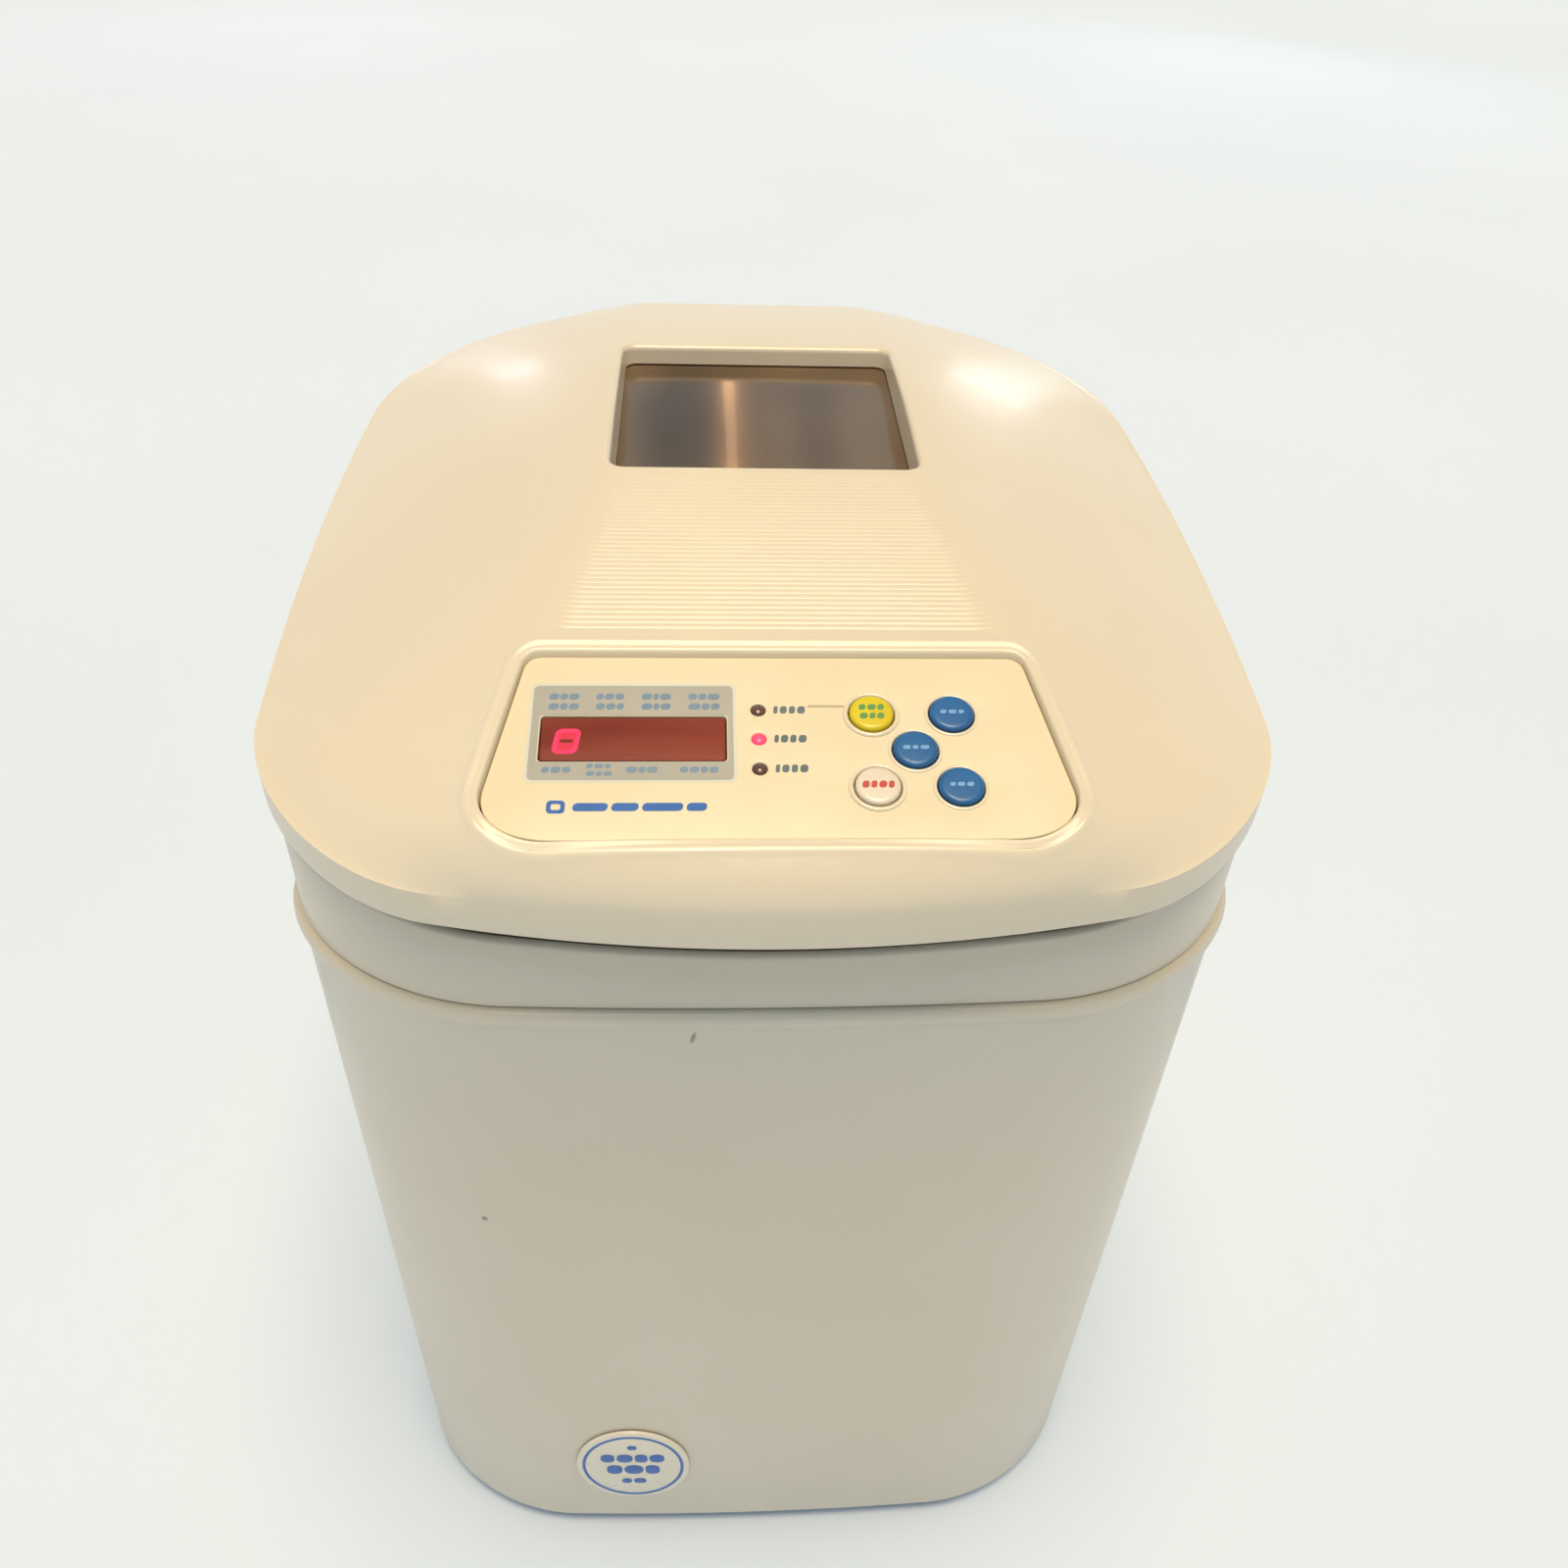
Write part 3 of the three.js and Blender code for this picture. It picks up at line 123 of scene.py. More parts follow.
make_camera()
make_lights()

# ---------- Shape of the housing and the lid ----------
SIDE_BOW = 8.7
SHELL_LOW, SHELL_HIGH = box_mm("outer_shell")
LID_LOW, LID_HIGH = box_mm("lid_shell")
LID_BOTTOM = LID_LOW[2]
LID_TOP = LID_HIGH[2] + 0.1
LID_EDGE = LID_BOTTOM + 9.5
DECK_TOP = box_mm("top_rim")[1][2]
SHELL_TOP = SHELL_HIGH[2]
HOUSING = {
    "half_width": SHELL_HIGH[0] - SIDE_BOW,
    "front": SHELL_LOW[1] + 4.5,
    "back": SHELL_HIGH[1] - 5,
    "front_corner": (52.4, 42),
    "back_corner": (88, 87),
    "front_bow": 4.5,
    "back_bow": 5,
}
LID = {
    "half_width": LID_HIGH[0] - SIDE_BOW,
    "front": LID_LOW[1] + 20.5,
    "back": LID_HIGH[1] - 4.5,
    "front_corner": (42.5, 46.5),
    "back_corner": (84, 91),
    "front_bow": 20.5,
    "back_bow": 4.5,
}
WALL = 2.5
OUTLINE_STEPS = {"front": 20, "corner": 30, "side": 24, "back": 12}


def half_outline(plan, grow):
    """The right half of a bowed, round-cornered outline, from the front's middle to the back's."""
    half_width = plan["half_width"] + grow
    front = plan["front"] - grow
    back = plan["back"] + grow
    front_across, front_along = (r + grow for r in plan["front_corner"])
    back_across, back_along = (r + grow for r in plan["back_corner"])
    flat = []

    def straight(x0, y0, x1, y1, steps):
        t = np.arange(steps) / steps
        flat.append(np.column_stack([x0 + (x1 - x0) * t, y0 + (y1 - y0) * t]))

    def corner(x, y, across, along, start):
        angle = start + math.pi / 2 * np.arange(OUTLINE_STEPS["corner"]) / OUTLINE_STEPS["corner"]
        flat.append(np.column_stack([x + across * np.cos(angle), y + along * np.sin(angle)]))

    front_x, front_y = half_width - front_across, front + front_along
    back_x, back_y = half_width - back_across, back - back_along
    straight(0, front, front_x, front, OUTLINE_STEPS["front"])
    corner(front_x, front_y, front_across, front_along, -math.pi / 2)
    straight(half_width, front_y, half_width, back_y, OUTLINE_STEPS["side"])
    corner(back_x, back_y, back_across, back_along, 0)
    straight(back_x, back, 0, back, OUTLINE_STEPS["back"])
    flat.append(np.array([[0.0, back]]))
    x, y = np.vstack(flat).T
    u = x / half_width
    v = (y - (front + back) / 2) / ((back - front) / 2)
    bow = np.where(v < 0, plan["front_bow"], plan["back_bow"])
    return np.column_stack([x + SIDE_BOW * (1 - v * v) * u, y + bow * (1 - u * u) * v])


def outline(plan, grow=0.0):
    right = half_outline(plan, grow)
    left = right[1:-1][::-1] * (-1, 1)
    return np.vstack([right, left])


def rounded_rectangle(x0, x1, y0, y1, radius, steps=10):
    points = []
    for sx, sy, start in ((1, -1, -90), (1, 1, 0), (-1, 1, 90), (-1, -1, 180)):
        cx = x1 - radius if sx > 0 else x0 + radius
        cy = y1 - radius if sy > 0 else y0 + radius
        for i in range(steps + 1):
            angle = math.radians(start + 90 * i / steps)
            points.append((cx + radius * math.cos(angle), cy + radius * math.sin(angle)))
    return np.array(points)


def circle(x, y, radius, count=40):
    angle = 2 * math.pi * np.arange(count) / count
    return np.column_stack([x + radius * np.cos(angle), y + radius * np.sin(angle)])


def subdivided(loop, step):
    """The loop with its long sides cut up, so that no side is longer than step."""
    points = []
    for a, b in zip(loop, np.roll(loop, -1, axis=0)):
        parts = max(1, int(math.ceil(np.hypot(*(b - a)) / step)))
        points += [a + (b - a) * i / parts for i in range(parts)]
    return np.array(points)


def offset(loop, distance):
    """The counter-clockwise loop moved outwards by a distance, along the mean normal at each point."""
    before, after = np.roll(loop, 1, axis=0), np.roll(loop, -1, axis=0)

    def normal(step):
        length = np.maximum(np.hypot(step[:, 0], step[:, 1]), 1e-9)
        return np.column_stack([step[:, 1], -step[:, 0]]) / length[:, None]

    first, second = normal(loop - before), normal(after - loop)
    mean = first + second
    scale = 2 / np.maximum((mean * mean).sum(1), 0.6)
    return loop + mean * scale[:, None] * distance


def inside(points, loop):
    """Which points lie inside a closed loop."""
    x, y = points[:, 0][:, None], points[:, 1][:, None]
    a, b = loop, np.roll(loop, -1, axis=0)
    crosses = (a[:, 1] > y) != (b[:, 1] > y)
    rise = np.where(np.abs(b[:, 1] - a[:, 1]) < 1e-12, 1e-12, b[:, 1] - a[:, 1])
    at = a[:, 0] + (y - a[:, 1]) * (b[:, 0] - a[:, 0]) / rise
    return (crosses & (x < at)).sum(1) % 2 == 1


def distance_to(points, loop):
    """Distance from each point to a closed loop, negative inside it."""
    a, b = loop, np.roll(loop, -1, axis=0)
    result = np.empty(len(points))
    for start in range(0, len(points), 4000):
        p = points[start : start + 4000][:, None, :]
        d = b - a
        t = np.clip(((p - a) * d).sum(2) / np.maximum((d * d).sum(1), 1e-12), 0, 1)
        near = a + d * t[..., None]
        result[start : start + 4000] = np.sqrt(((p - near) ** 2).sum(2).min(1))
    return np.where(inside(points, loop), -result, result)


def fill(outer, holes=(), points=None, lines=()):
    """Triangles inside a loop and outside its holes.

    Gives the plane points, the triangles, and each point's first index among the points put in.
    """
    coords, edges = [], []

    def add(run, closed):
        first = len(coords)
        coords.extend(map(tuple, run))
        edges.extend((first + i, first + i + 1) for i in range(len(run) - 1))
        if closed:
            edges.append((first + len(run) - 1, first))

    add(outer, True)
    for hole in holes:
        add(hole, True)
    for run, closed in lines:
        add(run, closed)
    if points is not None:
        coords.extend(map(tuple, points))
    flat, _, faces, source, _, _ = delaunay_2d_cdt([Vector(c) for c in coords], edges, [], 0, 1e-6, True)
    flat = np.array([tuple(v) for v in flat])
    faces = np.array([tuple(f) for f in faces])
    middles = flat[faces].mean(1)
    keep = inside(middles, np.asarray(outer))
    for hole in holes:
        keep &= ~inside(middles, np.asarray(hole))
    first_source = [s[0] if len(s) else -1 for s in source]
    return flat, faces[keep], np.array(first_source)


# ---------- Pieces ----------
def smooth_by_angle():
    """A modifier group that shades smooth, but leaves edges sharper than the angle sharp."""
    group = bpy.data.node_groups.new("smooth_by_angle", "GeometryNodeTree")
    group.interface.new_socket("Geometry", in_out="INPUT", socket_type="NodeSocketGeometry")
    group.interface.new_socket("Angle", in_out="INPUT", socket_type="NodeSocketFloat")
    group.interface.new_socket("Geometry", in_out="OUTPUT", socket_type="NodeSocketGeometry")
    nodes, links = group.nodes, group.links
    start, end = nodes.new("NodeGroupInput"), nodes.new("NodeGroupOutput")
    faces, edges = nodes.new("GeometryNodeSetShadeSmooth"), nodes.new("GeometryNodeSetShadeSmooth")
    edges.domain = "EDGE"
    angle = nodes.new("GeometryNodeInputMeshEdgeAngle")
    sharp = nodes.new("FunctionNodeCompare")
    sharp.operation = "GREATER_THAN"
    links.new(angle.outputs["Unsigned Angle"], sharp.inputs[0])
    links.new(start.outputs["Angle"], sharp.inputs[1])
    links.new(start.outputs["Geometry"], faces.inputs["Geometry"])
    links.new(faces.outputs["Geometry"], edges.inputs["Geometry"])
    links.new(sharp.outputs[0], edges.inputs["Selection"])
    edges.inputs["Shade Smooth"].default_value = False
    links.new(edges.outputs["Geometry"], end.inputs["Geometry"])
    return group


SMOOTH_GROUP = smooth_by_angle()


def shade_smooth(obj, angle=35):
    modifier = obj.modifiers.new("smooth", "NODES")
    modifier.node_group = SMOOTH_GROUP
    socket = SMOOTH_GROUP.interface.items_tree["Angle"].identifier
    modifier[socket] = math.radians(angle)


def mesh_object(name, vertices, faces, weld=1e-3):
    """A Blender object from millimetre vertices, with doubles welded and faces turned outwards."""
    mesh = bpy.data.meshes.new(name)
    places = [tuple(v) for v in np.asarray(vertices, float) * MM]
    mesh.from_pydata(places, [], [tuple(map(int, f)) for f in faces])
    work = bmesh.new()
    work.from_mesh(mesh)
    bmesh.ops.remove_doubles(work, verts=work.verts, dist=weld * MM)
    bmesh.ops.dissolve_degenerate(work, edges=work.edges, dist=1e-7)
    bmesh.ops.recalc_face_normals(work, faces=work.faces)
    work.to_mesh(mesh)
    work.free()
    obj = bpy.data.objects.new(name, mesh)
    scene.collection.objects.link(obj)
    return obj


def finish_piece(obj, body, material, stands_for=(), angle=35):
    obj.data.materials.clear()
    obj.data.materials.append(material)
    if angle:
        shade_smooth(obj, angle)
    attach(obj, body)
    if stands_for:
        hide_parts(*stands_for)
    return obj


def loft(rings, closed=False, caps=True):
    """Vertices and faces of a skin over rings of equal count. Closed joins the last to the first."""
    count = len(rings[0])
    vertices = np.vstack(rings)
    faces = []
    levels = len(rings)
    for level in range(levels if closed else levels - 1):
        a, b = level * count, ((level + 1) % levels) * count
        for i in range(count):
            j = (i + 1) % count
            faces.append((a + i, a + j, b + j, b + i))
    if caps and not closed:
        faces.append(tuple(range(count))[::-1])
        faces.append(tuple((levels - 1) * count + i for i in range(count)))
    return vertices, faces


def at(points, z):
    return np.column_stack([points, np.full(len(points), z)])


def quarter(steps):
    """Angles of a quarter turn."""
    return [math.pi / 2 * i / steps for i in range(steps + 1)]


def turned(profile, x, y, count=48):
    """Vertices and faces of a profile of (radius, z) turned about a vertical axis; radius 0 is on it."""
    vertices, faces, rows = [], [], []
    for radius, z in profile:
        if radius < 1e-9:
            rows.append([len(vertices)])
            vertices.append((x, y, z))
        else:
            rows.append(list(range(len(vertices), len(vertices) + count)))
            vertices += [(px, py, z) for px, py in circle(x, y, radius, count)]
    for low, high in zip(rows, rows[1:]):
        for i in range(count):
            j = (i + 1) % count
            if len(low) == 1:
                faces.append((low[0], high[j], high[i]))
            elif len(high) == 1:
                faces.append((low[i], low[j], high[0]))
            else:
                faces.append((low[i], low[j], high[j], high[i]))
    return vertices, faces


def joined(*parts):
    """Several sets of vertices and faces as one."""
    vertices, faces = [], []
    for part_vertices, part_faces in parts:
        base = len(vertices)
        vertices += [tuple(v) for v in part_vertices]
        faces += [tuple(base + i for i in f) for f in part_faces]
    return vertices, faces


def slab(outer, holes, bottom, top, edge=0.3, steps=3):
    """A closed plate with rounded upper edges, in its own plane."""
    parts = []

    def wall(loop, sign):
        rings = [at(loop, bottom)]
        for angle in quarter(steps):
            inset = edge * (1 - math.cos(angle))
            rings.append(at(offset(loop, -sign * inset), top - edge + edge * math.sin(angle)))
        parts.append(loft(rings, caps=False))

    wall(outer, 1)
    for hole in holes:
        wall(hole, -1)
    for z, inset in ((top, edge), (bottom, 0.0)):
        flat, faces, _ = fill(offset(outer, -inset), [offset(hole, inset) for hole in holes])
        parts.append((at(flat, z), faces))
    return joined(*parts)


# ---------- Materials ----------
def material(
    name, tone, other, roughness, scale=14, patch=0.5, grain=900, bump=0.02, metallic=0.0, coat=0.0,
    coat_roughness=0.08, rough_spread=0.08, stretch=(1, 1, 1), glow=None, specular=0.5,
):
    """A surface whose colour drifts between two tones, with fine grain in its relief and its gloss."""
    made = bpy.data.materials.new(name)
    made.use_nodes = True
    nodes, links = made.node_tree.nodes, made.node_tree.links
    shader = nodes["Principled BSDF"]
    place = nodes.new("ShaderNodeTexCoord")
    mapping = nodes.new("ShaderNodeMapping")
    mapping.inputs["Scale"].default_value = stretch
    links.new(place.outputs["Object"], mapping.inputs["Vector"])

    def noise(size, detail):
        node = nodes.new("ShaderNodeTexNoise")
        node.inputs["Scale"].default_value = size
        node.inputs["Detail"].default_value = detail
        links.new(mapping.outputs["Vector"], node.inputs["Vector"])
        return node.outputs["Fac"]

    ramp = nodes.new("ShaderNodeValToRGB")
    ramp.color_ramp.interpolation = "EASE"
    ramp.color_ramp.elements[0].position = 0.5 - patch / 2
    ramp.color_ramp.elements[1].position = 0.5 + patch / 2
    ramp.color_ramp.elements[0].color = (*tone, 1)
    ramp.color_ramp.elements[1].color = (*other, 1)
    links.new(noise(scale, 2), ramp.inputs["Fac"])
    links.new(ramp.outputs["Color"], shader.inputs["Base Color"])
    spread = nodes.new("ShaderNodeMapRange")
    spread.inputs["From Min"].default_value = 0.1
    spread.inputs["From Max"].default_value = 0.9
    spread.inputs["To Min"].default_value = roughness - rough_spread
    spread.inputs["To Max"].default_value = roughness + rough_spread
    links.new(noise(scale * 4, 2), spread.inputs["Value"])
    links.new(spread.outputs["Result"], shader.inputs["Roughness"])
    relief = nodes.new("ShaderNodeBump")
    relief.inputs["Strength"].default_value = bump
    relief.inputs["Distance"].default_value = 0.0006
    links.new(noise(grain, 3), relief.inputs["Height"])
    links.new(relief.outputs["Normal"], shader.inputs["Normal"])
    shader.inputs["Metallic"].default_value = metallic
    shader.inputs["Specular IOR Level"].default_value = specular
    shader.inputs["Coat Weight"].default_value = coat
    shader.inputs["Coat Roughness"].default_value = coat_roughness
    if glow:
        shader.inputs["Emission Color"].default_value = (*glow[0], 1)
        shader.inputs["Emission Strength"].default_value = glow[1]
    return made


def add_marks(made, marks, colour):
    """Small scuffs on a material: each mark is a place in millimetres, a size across and a size up."""
    nodes, links = made.node_tree.nodes, made.node_tree.links
    shader = nodes["Principled BSDF"]
    place = nodes.new("ShaderNodeTexCoord")
    colour_in = shader.inputs["Base Color"].links[0].from_socket
    for centre, across, up in marks:
        shift = nodes.new("ShaderNodeMapping")
        shift.vector_type = "TEXTURE"
        shift.inputs["Location"].default_value = [c * MM for c in centre]
        shift.inputs["Rotation"].default_value = (0, math.radians(14), 0)
        shift.inputs["Scale"].default_value = (across * MM, 20 * MM, up * MM)
        links.new(place.outputs["Object"], shift.inputs["Vector"])
        length = nodes.new("ShaderNodeVectorMath")
        length.operation = "LENGTH"
        links.new(shift.outputs["Vector"], length.inputs[0])
        near = nodes.new("ShaderNodeMapRange")
        near.inputs["From Min"].default_value = 1.0
        near.inputs["From Max"].default_value = 0.5
        near.inputs["To Max"].default_value = 0.75
        links.new(length.outputs["Value"], near.inputs["Value"])
        mix = nodes.new("ShaderNodeMix")
        mix.data_type = "RGBA"
        links.new(near.outputs["Result"], mix.inputs["Factor"])
        links.new(colour_in, mix.inputs["A"])
        mix.inputs["B"].default_value = (*colour, 1)
        colour_in = mix.outputs["Result"]
    links.new(colour_in, shader.inputs["Base Color"])


IVORY = (0.74, 0.66, 0.52)
IVORY_AGED = (0.70, 0.61, 0.46)
# The housing's two ivories are the lid's ivory made darker and greyer: painted shade for the housing's
# sides, which face away from the light above.
IVORY_PAINTED_SHADE = (0.66, 0.60, 0.49)
IVORY_PAINTED_SHADE_DEEP = (0.62, 0.555, 0.44)
MAT = {
    # Housing and rim band plastic, in the painted-shade ivories.
    "shell": material(
        "shell_plastic", IVORY_PAINTED_SHADE, IVORY_PAINTED_SHADE_DEEP, 0.34, scale=9, patch=0.9, bump=0.012, coat=0.25,
        coat_roughness=0.16, rough_spread=0.04,
    ),
    "lid": material(
        "lid_plastic", IVORY, IVORY_AGED, 0.32, scale=9, patch=0.9, bump=0.0, coat=0.2,
        coat_roughness=0.16, rough_spread=0.03,
    ),
    "overlay": material(
        "panel_overlay", (0.78, 0.69, 0.50), (0.75, 0.66, 0.46), 0.36, scale=30, bump=0.06, coat=0.15,
    ),
    "print_grey": material("print_grey", (0.42, 0.41, 0.36), (0.38, 0.37, 0.33), 0.45, scale=60),
    "print_blue": material("print_blue", (0.02, 0.12, 0.42), (0.03, 0.14, 0.46), 0.4, scale=60),
    "print_slate": material("print_slate", (0.16, 0.25, 0.36), (0.19, 0.28, 0.38), 0.45, scale=60),
    "print_dark": material("print_dark", (0.10, 0.14, 0.16), (0.13, 0.17, 0.19), 0.45, scale=60),
    "print_red": material("print_red", (0.55, 0.07, 0.05), (0.5, 0.06, 0.05), 0.45, scale=60),
    "print_pale": material("print_pale", (0.66, 0.66, 0.56), (0.62, 0.63, 0.54), 0.45, scale=60),
    "print_brown": material("print_brown", (0.50, 0.42, 0.28), (0.46, 0.38, 0.25), 0.45, scale=60),
    "print_green": material("print_green", (0.10, 0.26, 0.07), (0.12, 0.29, 0.08), 0.45, scale=60),
    "print_sky": material("print_sky", (0.16, 0.36, 0.66), (0.18, 0.38, 0.68), 0.45, scale=60),
    "rim": material("panel_rim", (0.78, 0.70, 0.54), (0.75, 0.67, 0.50), 0.22, scale=40, coat=0.5),
    "badge": material("badge_enamel", (0.76, 0.70, 0.58), (0.73, 0.67, 0.54), 0.3, scale=40, coat=0.4),
    # Near-black brown that is no part's own colour: painted shadow for the gap under the lid's lip.
    "gap": material("painted_gap_shadow", (0.055, 0.035, 0.022), (0.035, 0.022, 0.015), 0.7, scale=90, bump=0.2),
    "rubber": material("rubber", (0.02, 0.02, 0.02), (0.035, 0.033, 0.03), 0.75, scale=120, bump=0.3),
    "steel": material(
        "plated_steel", (0.62, 0.63, 0.64), (0.5, 0.51, 0.52), 0.3, scale=60, bump=0.05, metallic=1.0,
    ),
    "tin": material(
        "aluminised_steel", (0.68, 0.68, 0.67), (0.55, 0.55, 0.54), 0.36, scale=35, bump=0.12,
        metallic=1.0, grain=500, stretch=(1, 1, 0.2),
    ),
    "sheath": material(
        "element_sheath", (0.05, 0.045, 0.04), (0.09, 0.07, 0.06), 0.5, scale=90, bump=0.3, metallic=0.7,
    ),
    "copper": material(
        "copper", (0.6, 0.3, 0.16), (0.45, 0.2, 0.1), 0.35, scale=80, bump=0.1, metallic=0.9,
    ),
    "black": material("black_plastic", (0.025, 0.025, 0.026), (0.04, 0.04, 0.04), 0.5, scale=70, bump=0.2),
    "board": material("circuit_board", (0.03, 0.16, 0.06), (0.04, 0.2, 0.08), 0.4, scale=150, coat=0.3),
    "coating": material(
        "nonstick_coating", (0.075, 0.075, 0.08), (0.11, 0.11, 0.115), 0.42, scale=160, bump=0.35,
        metallic=0.4, grain=2600,
    ),
    "glass": material(
        "bronze_glass", (0.36, 0.23, 0.12), (0.12, 0.075, 0.04), 0.16, scale=16, patch=0.22, bump=0.03,
        coat=0.25, coat_roughness=0.05, metallic=0.75, rough_spread=0.06, stretch=(1, 0.35, 1), grain=120,
    ),
    "silicone": material("grey_silicone", (0.3, 0.29, 0.27), (0.36, 0.35, 0.33), 0.6, scale=100, bump=0.2),
    "lens": material(
        "red_lens", (0.17, 0.030, 0.022), (0.26, 0.055, 0.035), 0.38, scale=30, rough_spread=0.05,
        specular=0.12, stretch=(0.5, 3, 1),
    ),
    "digit": material(
        "lit_digit", (0.9, 0.02, 0.08), (0.95, 0.03, 0.1), 0.4, glow=((1.0, 0.02, 0.10), 0.75),
    ),
    "digit_dim": material(
        "digit_dim", (0.5, 0.02, 0.05), (0.42, 0.02, 0.04), 0.4, glow=((1.0, 0.02, 0.08), 0.25),
    ),
    "lamp_on": material(
        "lamp_on", (0.95, 0.04, 0.12), (1.0, 0.08, 0.16), 0.3, glow=((1.0, 0.03, 0.12), 0.9),
    ),
    "lamp_off": material("lamp_off", (0.10, 0.045, 0.035), (0.14, 0.06, 0.045), 0.25, scale=300, coat=0.5),
    "yellow": material("yellow_cap", (0.70, 0.58, 0.01), (0.64, 0.50, 0.01), 0.4, scale=120, coat=0.15),
    "white": material("white_cap", (0.76, 0.68, 0.56), (0.72, 0.64, 0.52), 0.3, scale=120, coat=0.4),
    "blue": material("blue_cap", (0.012, 0.13, 0.36), (0.01, 0.10, 0.30), 0.4, scale=120, coat=0.15),
}
add_marks(MAT["shell"], [((-19, -152, 268), 0.7, 2.6), ((-76, -150, 190), 1.1, 1.4)], (0.16, 0.12, 0.08))

# ---------- Lid ----------
FRONT_FALL = 0.00091
BACK_FALL = 0.0012
SIDE_POWER = 1.22
ROLL_SHARE = 0.06
CREASES = np.array([[-170, 64], [-146, 62], [-105.5, 55], [-33, 41.5], [51, 41], [170, 38]])
PANEL_Y = -130.0
PANEL_DROP = 2.0
WINDOW = {"half_width": 40.5, "front": -32.5, "back": 51, "corner": 4, "edge": 2.0, "draft": 0.6}
RIBS = {"pitch": 1.7, "depth": 0.2, "groove": 1.0, "front": -98.5, "back": -37, "margin": 2.6}
BEAD = {"centre": 3.3, "half": 1.5, "height": 0.6, "edge": 0.9, "gap": 0.4}


def crest(y):
    return LID_TOP - np.where(y < 0, FRONT_FALL, BACK_FALL) * y * y


PANEL_Z = float(crest(PANEL_Y))
PANEL_SLOPE = math.atan(-2 * FRONT_FALL * PANEL_Y)
PANEL_FRAME = np.array(
    [
        [1, 0, 0],
        [0, math.cos(PANEL_SLOPE), math.sin(PANEL_SLOPE)],
        [0, -math.sin(PANEL_SLOPE), math.cos(PANEL_SLOPE)],
    ]
)


def on_panel(vertices):
    """Points of the panel's own frame (across, up the slope, outwards) in the machine's frame."""
    return np.asarray(vertices, float) @ PANEL_FRAME + (0, PANEL_Y, PANEL_Z)


def bezier(p0, p1, p2, p3, steps):
    t = (np.arange(steps) / steps)[:, None]
    p0, p1, p2, p3 = (np.array(p, float) for p in (p0, p1, p2, p3))
    return (1 - t) ** 3 * p0 + 3 * t * (1 - t) ** 2 * p1 + 3 * t * t * (1 - t) * p2 + t**3 * p3


def panel_outline(step=2.5):
    """The panel's outline in its own plane: narrow at the back, widest at the shoulders."""
    back, shoulder, front = 25, -12, -25
    back_x, shoulder_x, front_x, corner = 55, 62, 47.5, 3
    at_front, at_shoulder = (front_x, front), (shoulder_x, shoulder)
    at_side, at_back = (back_x + 1, back - corner), (back_x - corner, back)
    front_curve = bezier(at_front, (front_x + 9, front), (shoulder_x + 1.5, front + 5), at_shoulder, 16)
    back_curve = bezier(at_side, (back_x + 0.3, back - 1), (back_x - 1, back), at_back, 6)
    right = np.vstack([[(0, front)], front_curve, [at_shoulder], back_curve, [at_back]])
    loop = np.vstack([right, [[0, back]], right[1:][::-1] * (-1, 1)])
    return subdivided(loop, step)


PANEL_LOOP = panel_outline()
PANEL_LIFT = PANEL_DROP * math.sin(PANEL_SLOPE)
PANEL_PLAN = PANEL_LOOP * (1, math.cos(PANEL_SLOPE)) + (0, PANEL_Y + PANEL_LIFT)
LID_HALF = half_outline(LID, 0)
LID_OUTLINE = outline(LID)
WINDOW_LOOP = rounded_rectangle(
    -WINDOW["half_width"], WINDOW["half_width"], WINDOW["front"], WINDOW["back"], WINDOW["corner"], 8,
)
WINDOW_FLOOR = box_mm("window_glass")[1][2] + 0.3


def radial_share(x, y):
    """Each point's distance from the middle as a share of the outline's distance in that direction."""
    angle = np.arctan2(LID_OUTLINE[:, 1], LID_OUTLINE[:, 0])
    order = np.argsort(angle)
    reach = np.hypot(LID_OUTLINE[:, 0], LID_OUTLINE[:, 1])
    return np.hypot(x, y) / np.interp(np.arctan2(y, x), angle[order], reach[order], period=2 * math.pi)


def lid_base(x, y, share=None):
    """Height of the lid's plain surface: a crest between the creases, falling to a rolled edge."""
    crease = np.interp(y, CREASES[:, 0], CREASES[:, 1])
    edge = np.interp(y, LID_HALF[:, 1], LID_HALF[:, 0])
    reach = np.maximum(edge - crease, 1e-6)
    across = np.where(edge > crease, np.clip((np.abs(x) - crease) / reach, 0, 1), 0)
    height = (np.maximum(crest(y), LID_EDGE) - LID_EDGE) * (1 - across**SIDE_POWER)
    if share is None:
        share = radial_share(x, y)
    roll = np.clip((1 - share) / ROLL_SHARE, 0, 1)
    return LID_EDGE + height * np.sqrt(roll * (2 - roll))


def eased(distance, radius):
    """Drop of a rounded edge at a distance from its wall."""
    d = np.clip(distance, 0, radius)
    return radius - np.sqrt(radius**2 - (radius - d) ** 2)


